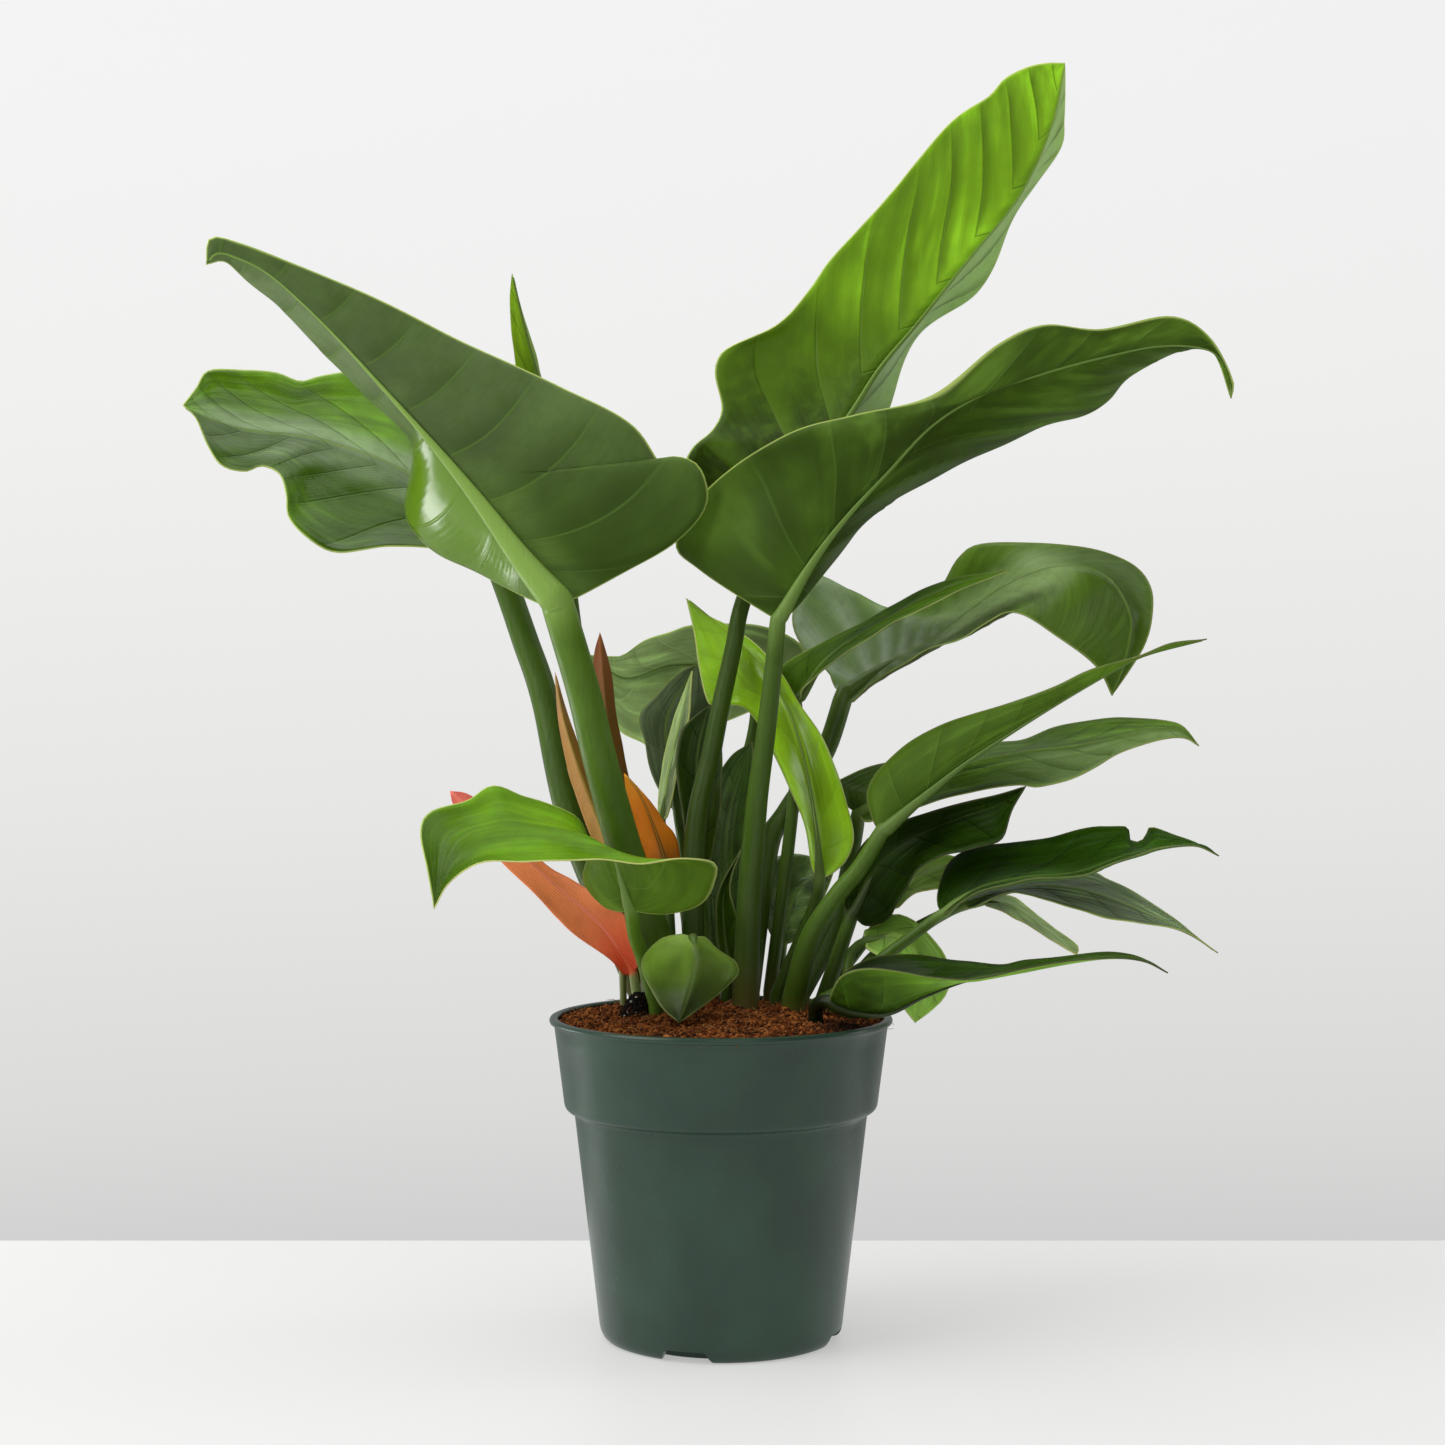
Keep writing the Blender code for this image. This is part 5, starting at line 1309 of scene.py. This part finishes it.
# %% Leaves
total = 0
for seed, (name, look) in enumerate(LOOKS.items()):
    look = PLAIN_LOOK | look
    upper = dulled(leaf_green(look["upper"]), look.get("upper_grey", look["grey"]), look["warm"])
    lower = leaf_green(look["lower"]) * 0.75 + UNDERSIDE_GREY * (0.1 + 0.7 * look["lower"])
    lower = dulled(lower, look["grey"], look["warm"])
    finishes = (blade_finish(f"{name}_upper", look, upper),
                blade_finish(f"{name}_lower", look, lower, lower_side=True),
                rim_finish(f"{name}_rim", upper, look["margin"]),
                stalk_finish(f"{name}_stalk", STALK_GREEN * look["stalk"], FOOT_BROWN,
                             RIB_GREEN * look["rib"]))
    total += count_triangles(finished_leaf(name, LEAVES[name], look, seed, finishes))
print(len(LOOKS), "leaves,", total, "triangles")

# %% [markdown]
# ## The dried sheaths
# A new leaf comes out of a thin sheath, which dries to a papery strip and stays among the stalks.
# A sheath has the same kind of surface as a blade, between three lines, but its veins run
# lengthwise, with a paler line in the middle. Its colour goes from its foot to its tip through a
# warm red, orange or brown, and its short stub is still a little green.

# %% Sheaths
SHEATHS = {
    "red_sheath": (linear(232, 76, 42), linear(255, 142, 86), linear(252, 118, 104)),
    "orange_sheath": (linear(128, 74, 4), linear(232, 130, 4), linear(226, 146, 18)),
    "brown_sheath": (linear(104, 72, 8), linear(114, 72, 10), linear(150, 88, 48)),
    "tan_sheath": (linear(160, 124, 36), linear(178, 128, 52), linear(196, 146, 96)),
}
STUB_GREEN = np.array((0.3, 0.38, 0.12))
SHEATH_VEINS = 0.9
SHEATH_CLOUDS = (90, 3.0)
SHEATH_GRAIN = 300
SHEATH_SURFACE = (0.5, 0.35)
SHEATH_RELIEF = 0.00015
FIRST_SHEATH_SEED = 40


def scaled(colour, factor):
    return rgba(np.minimum(np.array(colour[:3]) * factor, 1.0))


def sheath_finish(name, foot, middle, tip):
    made, tree, shader = new_finish(name)
    along, rib_mm = fact(tree, "along"), fact(tree, "rib_mm")
    lines = fade(tree, calculate(tree, "PINGPONG", product(tree, rib_mm, SHEATH_VEINS), 0.5), 0.0, 0.5)
    dark, pale = scaled(middle, 0.45), scaled(tip, 1.5)
    colour = tint(tree, fade(tree, along, 0.0, 0.35), foot, middle)
    for mask, over in ((fade(tree, along, 0.6, 1.0), tip), (product(tree, lines, 0.12), dark),
                       (fade(tree, blotches(tree, *SHEATH_CLOUDS), 0.45, 0.75, 0.0, 0.25), dark),
                       (fade(tree, rib_mm, 0.3, 1.0, 0.5, 0.0), pale)):
        colour = tint(tree, mask, colour, over)
    dress(tree, shader, colour, *SHEATH_SURFACE)
    height = calculate(tree, "MULTIPLY_ADD", blotches(tree, SHEATH_GRAIN), 0.5, lines)
    relief(tree, shader, height, SHEATH_RELIEF)
    return made


for seed, (name, colours) in enumerate(SHEATHS.items(), FIRST_SHEATH_SEED):
    paper_like = sheath_finish(f"{name}_skin", *colours)
    stalk = stalk_finish(f"{name}_foot", STUB_GREEN, FOOT_BROWN, np.array(colours[0][:3]))
    finished_leaf(name, LEAVES[name], PLAIN_LOOK, seed, (paper_like, paper_like, paper_like, stalk))
print("sheaths:", ", ".join(SHEATHS))

# %% [markdown]
# ## The pot
# A nursery pot is blown or pressed from thin dark plastic. Its shape is one profile turned about
# the pot's axis: a lip rolled outwards, a straight band, a step, a tapered body and a foot with
# notches that let water out. The Screw modifier turns the profile, and a Boolean cuts the notches.

# %% Profile of the pot
POT_STEPS = 160
OUTSIDE = [(73.7, 144.2), (74.1, 144.8), (74.8, 145), (76.4, 145), (77.1, 144.7), (77.5, 144),
           (77.6, 143.4), (77.3, 142.6), (76.6, 142.1), (75.9, 141.8), (75.4, 141), (74.6, 135),
           (71, 106.8), (70.7, 105.2), (70.1, 104.1), (69.3, 103.4), (67.4, 102.5), (66.6, 101.9),
           (66.2, 100.8), (65.9, 98.5), (55.3, 8), (55, 5.6), (54.5, 3.6), (53.6, 1.8), (52.4, 0.6),
           (50.8, 0), (49.5, 0), (49.2, 0.4)]
UNDERSIDE = [(48.4, 4.5), (47.9, 4.9), (44.8, 4.9), (44.3, 4.5), (43.7, 0.4), (43.3, 0), (0, 0)]
INSIDE_FLOOR = [(0, 1.4), (42, 1.4), (42.4, 1.8), (42.9, 5.9), (43.4, 6.3), (52.2, 6.3), (53.2, 6.7),
                (53.7, 7.8)]
INSIDE_WALL = [(64.5, 99), (64.9, 101.8), (66, 103), (67.4, 103.6), (68.6, 104.6), (69.4, 106),
               (74, 141)]
SAME_POINT = 0.000005


def turned(name, profile, steps):
    """A closed solid turned about the pot's axis from rows of (radius, height) in mm."""
    places = [(radius * MM, 0, height * MM) for radius, height in profile]
    made = add_object(name, chain_mesh(name, places))
    turn = made.modifiers.new("turn", "SCREW")
    turn.steps = turn.render_steps = steps
    turn.use_merge_vertices = True
    turn.merge_threshold = SAME_POINT * 2
    return made


def settle(made):
    """Turns the object's modifiers into plain mesh, with its faces pointing outwards."""
    shape = bmesh.new()
    shape.from_mesh(worked_mesh(made))
    made.modifiers.clear()
    bmesh.ops.remove_doubles(shape, verts=shape.verts, dist=SAME_POINT)
    bmesh.ops.recalc_face_normals(shape, faces=shape.faces)
    made.data = mesh_of(made.name, shape)
    return made


def add_tube(shape, rings):
    """Faces from ring to ring, and one over each end."""
    count = len(rings[0])
    for near, far in zip(rings, rings[1:]):
        for side in range(count):
            after = (side + 1) % count
            shape.faces.new((near[side], near[after], far[after], far[side]))
    shape.faces.new(rings[0][::-1])
    shape.faces.new(rings[-1])


# %% Notches
NOTCH_ANGLES = (-17, 73, 163, 253)
NOTCH_RADIUS = 51.2 * MM
NOTCH_SECTION = [(-13, -2), (13, -2), (9.4, 4.7), (8.4, 5.3), (-8.4, 5.3), (-9.4, 4.7)]
NOTCH_DEPTH = 11


def notch_cutter(degrees):
    """A bar across the foot ring, narrower at its top."""
    shape = bmesh.new()
    add_tube(shape, [[shape.verts.new((x * MM, y * MM, z * MM)) for x, z in NOTCH_SECTION]
                     for y in (NOTCH_DEPTH / 2, -NOTCH_DEPTH / 2)])
    made = bpy.data.objects.new("notch", mesh_of("notch", shape))
    angle = math.radians(degrees)
    made.location = Vector((math.sin(angle), -math.cos(angle), 0)) * NOTCH_RADIUS
    made.rotation_euler = (0, 0, angle)
    return made


# %% [markdown]
# ## The pot's finish
# The plastic is dark green and half glossy. It has a very fine grain from its mould, soft clouds
# where it is thicker or thinner, and a little dust, which also makes it rougher in places.

# %% Pot finish
POT_GREEN = np.array((0.019, 0.048, 0.031))
POT_GRAIN, POT_CLOUDS, POT_DUST = (1600,), (25,), (14, 4.0)
POT_SHINE = 0.4
POT_ROUGHNESS = (0.26, 0.32)
POT_RELIEF = 0.00004


def pot_finish():
    made, tree, shader = new_finish("dark_green_plastic")
    grain, clouds, dust = (blotches(tree, *noisy) for noisy in (POT_GRAIN, POT_CLOUDS, POT_DUST))
    colour = tint(tree, fade(tree, clouds, *NOISE_SPAN), rgba(POT_GREEN * 0.8), rgba(POT_GREEN * 1.25))
    colour = cover(tree, colour, (grain, 0.3, POT_GREEN * 1.8),
                   (fade(tree, dust, 0.5, 0.8), 0.12, POT_GREEN * 3.0))
    dress(tree, shader, colour, fade(tree, dust, *NOISE_SPAN, *POT_ROUGHNESS), POT_SHINE)
    relief(tree, shader, grain, POT_RELIEF)
    return made


# %% Pot
SHARP_ANGLE = math.radians(35)

pot = turned("fine_nursery_pot", INSIDE_FLOOR + INSIDE_WALL + OUTSIDE + UNDERSIDE, POT_STEPS)
cutters = bpy.data.collections.new("cutters")
bpy.context.scene.collection.children.link(cutters)
for degrees in NOTCH_ANGLES:
    cutters.objects.link(notch_cutter(degrees))
cut = pot.modifiers.new("cut", "BOOLEAN")
cut.operand_type = "COLLECTION"
cut.collection = cutters
settle(pot)
for cutter in list(cutters.objects):
    bpy.data.objects.remove(cutter)
bpy.data.collections.remove(cutters)
pot.data.shade_smooth()
pot.data.set_sharp_from_angle(angle=SHARP_ANGLE)
pot.data.materials.append(pot_finish())
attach(pot, "root")
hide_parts("nursery_pot")
print("pot:", count_triangles(pot), "triangles")

# %% [markdown]
# ## The soil
# The pot is filled with coco and peat fibre, a loose red brown crumb, mounded around the stems. A
# black root plug stands a little out of it beside the left crown. The body of the soil is a lump
# turned from the inside of the pot, with an uneven top.

# %% Height of the soil
SOIL_EDGE = 142.5
SOIL_DOME = 5
SOIL_MOUND = 3
MOUND_PLACE = (-25, 18)
MOUND_SPREAD = 22
SOIL_WALL = 73.5
LUMPS = ((3.0, 13, 1.6), (9.0, 4.5, 0.8))  # noise level, width and height of each size of lump
LEVEL_RIM = 6
PLUG_PLACE = (-37, -4)
PLUG_RADIUS = (9, 8)
PLUG_RISE = 8


def off_plug(x, y):
    """Distance from the root plug's middle, where 1 is its outline."""
    return math.hypot((x - PLUG_PLACE[0]) / PLUG_RADIUS[0], (y - PLUG_PLACE[1]) / PLUG_RADIUS[1])


def soil_height(x, y):
    """Height of the soil at a place, all in mm: a dome, a mound, lumps and the root plug."""
    dome = SOIL_DOME * (1 - (x * x + y * y) / SOIL_WALL ** 2)
    away = ((x - MOUND_PLACE[0]) ** 2 + (y - MOUND_PLACE[1]) ** 2) / MOUND_SPREAD ** 2
    lumps = sum(noise.noise(Vector((x, y, level)) / width) * height for level, width, height in LUMPS)
    lumps += PLUG_RISE * float(between(1.0 - off_plug(x, y), 0, 0.7))
    inward = float(between(SOIL_WALL - math.hypot(x, y), 0, LEVEL_RIM))
    return SOIL_EDGE + dome + SOIL_MOUND * math.exp(-away) + lumps * inward


# %% Soil body
SOIL_TOP_RINGS = 34
SOIL_STEPS = 128
SOIL_SIDE = [(73.5, 142.5), (69.2, 106), (67.7, 103.4), (64.6, 101.8), (53.5, 8.1), (52, 6.6), (42.9, 6.6),
             (42.1, 1.7), (0, 1.7)]

top = [(SOIL_WALL * ring / SOIL_TOP_RINGS, SOIL_EDGE) for ring in range(SOIL_TOP_RINGS)]
soil = settle(turned("fine_soil", top + SOIL_SIDE, SOIL_STEPS))
for vertex in soil.data.vertices:
    if vertex.co.z > (SOIL_EDGE - 1) * MM:
        vertex.co.z = soil_height(vertex.co.x / MM, vertex.co.y / MM) * MM
soil.data.shade_smooth()

# %% [markdown]
# ## The soil's finish
# The stuff is matt, and each crumb has its own tone, from dark peat to pale fibre. Under the lowest
# right leaf a shadow is painted on the soil, which makes it nearly black.

# %% Crumb finishes
PAINTED_SHADOW_PLACE = (0.06, -0.036, 0.15)
PAINTED_SHADOW_REACH = (0.008, 0.026)
PAINTED_SHADOW_TONE = 0.15
CRUMB_MOTTLE, CRUMB_GRAIN = (260, 4.0), (1500, 3.0)
CRUMB_SURFACE = (0.92, 0.2)
CRUMB_RELIEF = 0.0006
COCO = (linear(48, 25, 8), linear(116, 60, 20), linear(176, 108, 54))
FIBRE = (linear(92, 52, 24), linear(140, 88, 44), linear(190, 140, 90))
PEAT = (linear(10, 8, 6), linear(22, 18, 14), linear(44, 36, 28))
PERLITE = (linear(130, 130, 126), linear(186, 186, 182), linear(228, 228, 224))


def crumb_finish(name, dark, middle, light, reads_tone=True):
    """Matt crumbly stuff whose colour changes from crumb to crumb, with one painted shadow."""
    made, tree, shader = new_finish(name)
    mottle = fade(tree, blotches(tree, *CRUMB_MOTTLE), *NOISE_SPAN)
    tone = fact(tree, "tone") if reads_tone else mottle
    colour = tint(tree, fade(tree, tone, 0.0, 0.5), dark, middle)
    colour = tint(tree, fade(tree, tone, 0.5, 1.0), colour, light)
    colour = tint(tree, product(tree, mottle, 0.4), colour, dark)
    # painted shadow: near one place under the lowest right leaf the crumbs are made nearly black
    place = add_node(tree, "ShaderNodeTexCoord").outputs["Object"]
    apart = add_node(tree, "ShaderNodeVectorMath", {0: place, 1: PAINTED_SHADOW_PLACE}, operation="DISTANCE")
    colour = shade(tree, colour, fade(tree, apart.outputs["Value"], *PAINTED_SHADOW_REACH, 1.0, 0.0), PAINTED_SHADOW_TONE)
    dress(tree, shader, colour, *CRUMB_SURFACE)
    relief(tree, shader, blotches(tree, *CRUMB_GRAIN), CRUMB_RELIEF)
    return made


soil.data.materials.append(crumb_finish("coco_bed", *COCO, reads_tone=False))
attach(soil, "root")
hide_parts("soil")
print("soil body:", count_triangles(soil), "triangles")

# %% [markdown]
# ## Crumbs, chips and fibres
# Loose bits lie on the soil and repeat thousands of times, so Geometry Nodes scatter them over its
# top: one pattern, turned and sized at random from a fixed seed, with a tone of its own for each.

# %% Node group that scatters crumbs
TONE_SEED = 5
SPIN_SEED_STEP = 7.0


def scatter_group():
    tree, given = start_group("scatter over a surface", {
        "Surface": ("Geometry", None), "Crumb": ("Object", None), "Density": ("Float", 100000.0),
        "Smallest": ("Vector", (MM / 2, MM / 2, MM / 2)), "Largest": ("Vector", (MM, MM, MM)),
        "Lean": ("Float", math.pi), "Seed": ("Int", 1), "Finish": ("Material", None)})
    points = add_node(tree, "GeometryNodeDistributePointsOnFaces",
                      {"Mesh": given["Surface"], "Density": given["Density"], "Seed": given["Seed"]})
    size = add_node(tree, "FunctionNodeRandomValue",
                    {0: given["Smallest"], 1: given["Largest"], "Seed": given["Seed"]},
                    data_type="FLOAT_VECTOR")
    least = product(tree, given["Lean"], -1.0)
    low = add_node(tree, "ShaderNodeCombineXYZ", {0: least, 1: least, 2: -math.pi})
    high = add_node(tree, "ShaderNodeCombineXYZ", {0: given["Lean"], 1: given["Lean"], 2: math.pi})
    spin = add_node(tree, "FunctionNodeRandomValue",
                    {0: low.outputs[0], 1: high.outputs[0],
                     "Seed": calculate(tree, "ADD", given["Seed"], SPIN_SEED_STEP)},
                    data_type="FLOAT_VECTOR")
    shape = add_node(tree, "GeometryNodeObjectInfo", {"Object": given["Crumb"]},
                     transform_space="ORIGINAL")
    laid = add_node(tree, "GeometryNodeInstanceOnPoints",
                    {"Points": points.outputs["Points"], "Instance": shape.outputs["Geometry"],
                     "Rotation": spin.outputs[0], "Scale": size.outputs[0]})
    tone = add_node(tree, "FunctionNodeRandomValue", {"Seed": TONE_SEED}, data_type="FLOAT")
    toned = store(tree, laid.outputs[0], "tone", tone.outputs[1], "INSTANCE")
    return end_group(tree, toned.outputs[0], given["Finish"])


SCATTER_GROUP = scatter_group()
print("scatter group has", len(SCATTER_GROUP.nodes), "nodes")

# %% Shapes that are scattered
CRUMB_UNEVENNESS = 0.45
FIBRE_RINGS = 6
FIBRE_LENGTH = 20
FIBRE_RADIUS = 0.42
FIBRE_CORNERS = (0, 2.09, 4.19)


def crumb_pattern():
    """An uneven lump of twenty faces, about two units across."""
    shape = bmesh.new()
    bmesh.ops.create_icosphere(shape, subdivisions=1, radius=1)
    for vertex in shape.verts:
        vertex.co *= 1 + CRUMB_UNEVENNESS * noise.noise(vertex.co * 1.7)
    return shape


def fibre_pattern():
    """A thin bent strand, three sided, twenty units long."""
    shape = bmesh.new()
    rings = []
    for step in range(FIBRE_RINGS):
        t = step / (FIBRE_RINGS - 1) - 0.5
        middle = Vector((FIBRE_LENGTH * t, 6 * math.cos(3.4 * t) - 4, 3.5 * math.sin(6 * t)))
        thick = FIBRE_RADIUS * (1 - 1.2 * t * t)
        rings.append([shape.verts.new(middle + Vector((0, math.cos(a), math.sin(a))) * thick)
                      for a in FIBRE_CORNERS])
    add_tube(shape, rings)
    bmesh.ops.recalc_face_normals(shape, faces=shape.faces)
    return shape


crumb = add_object("crumb_pattern", mesh_of("crumb_pattern", crumb_pattern()))
fibre = add_object("fibre_pattern", mesh_of("fibre_pattern", fibre_pattern()))
print("a crumb has", count_triangles(crumb), "triangles, a fibre", count_triangles(fibre))


# %% Scattering over a part of the soil
LEAST_SLOPE = 0.2
LEAST_HEIGHT = 120
SCATTER_RADIUS = 73


def in_plug(place):
    return off_plug(place.x, place.y) < 1


def on_bed(place):
    return not in_plug(place) and math.hypot(place.x, place.y) < SCATTER_RADIUS


def patch(name, wanted):
    """A copy of the soil's upper faces whose middle is wanted, as an object of its own."""
    shape = bmesh.new()
    shape.from_mesh(soil.data)
    others = []
    for face in shape.faces:
        middle = face.calc_center_median() / MM
        if face.normal.z < LEAST_SLOPE or middle.z < LEAST_HEIGHT or not wanted(middle):
            others.append(face)
    bmesh.ops.delete(shape, geom=others, context="FACES")
    return add_object(name, mesh_of(name, shape))


def scattered(name, wanted, pattern, finish, density, smallest, largest, lean, seed):
    """Scatters a pattern over part of the soil. The sizes are in mm for one unit of the pattern."""
    ground = patch(f"ground_{name}", wanted)
    spread = ground.modifiers.new("scatter", "NODES")
    spread.node_group = SCATTER_GROUP
    set_inputs(spread, crumb=pattern, density=density, smallest=[size * MM for size in smallest],
               largest=[size * MM for size in largest], lean=lean, seed=seed, finish=finish)
    piece = add_object(name, worked_mesh(ground))
    bpy.data.objects.remove(ground)
    piece.data.name = name
    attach(piece, "root")
    print(name, count_triangles(piece), "triangles")


# %% Crumbs, chips, fibres and perlite
loose = crumb_finish("coco_crumbs", *COCO)
strands = crumb_finish("coco_fibres", *FIBRE)
peat = crumb_finish("black_peat", *PEAT)
white = crumb_finish("perlite", *PERLITE)
scattered("soil_crumbs", on_bed, crumb, loose, 320000.0, (0.5, 0.5, 0.4), (1.5, 1.3, 1.1), 3.1, 3)
scattered("soil_chips", on_bed, crumb, loose, 26000.0, (1.2, 0.9, 0.5), (3.2, 2.2, 1.3), 0.5, 11)
scattered("soil_fibres", on_bed, fibre, strands, 26000.0, (0.25, 0.25, 0.25), (0.75, 0.6, 0.6), 0.35, 17)
scattered("plug_crumbs", in_plug, crumb, peat, 900000.0, (0.6, 0.6, 0.5), (1.5, 1.4, 1.2), 3.1, 23)
scattered("plug_perlite", in_plug, crumb, white, 30000.0, (0.4, 0.4, 0.4), (1.1, 0.9, 0.8), 3.1, 29)
for pattern in (crumb, fibre):
    bpy.data.objects.remove(pattern)
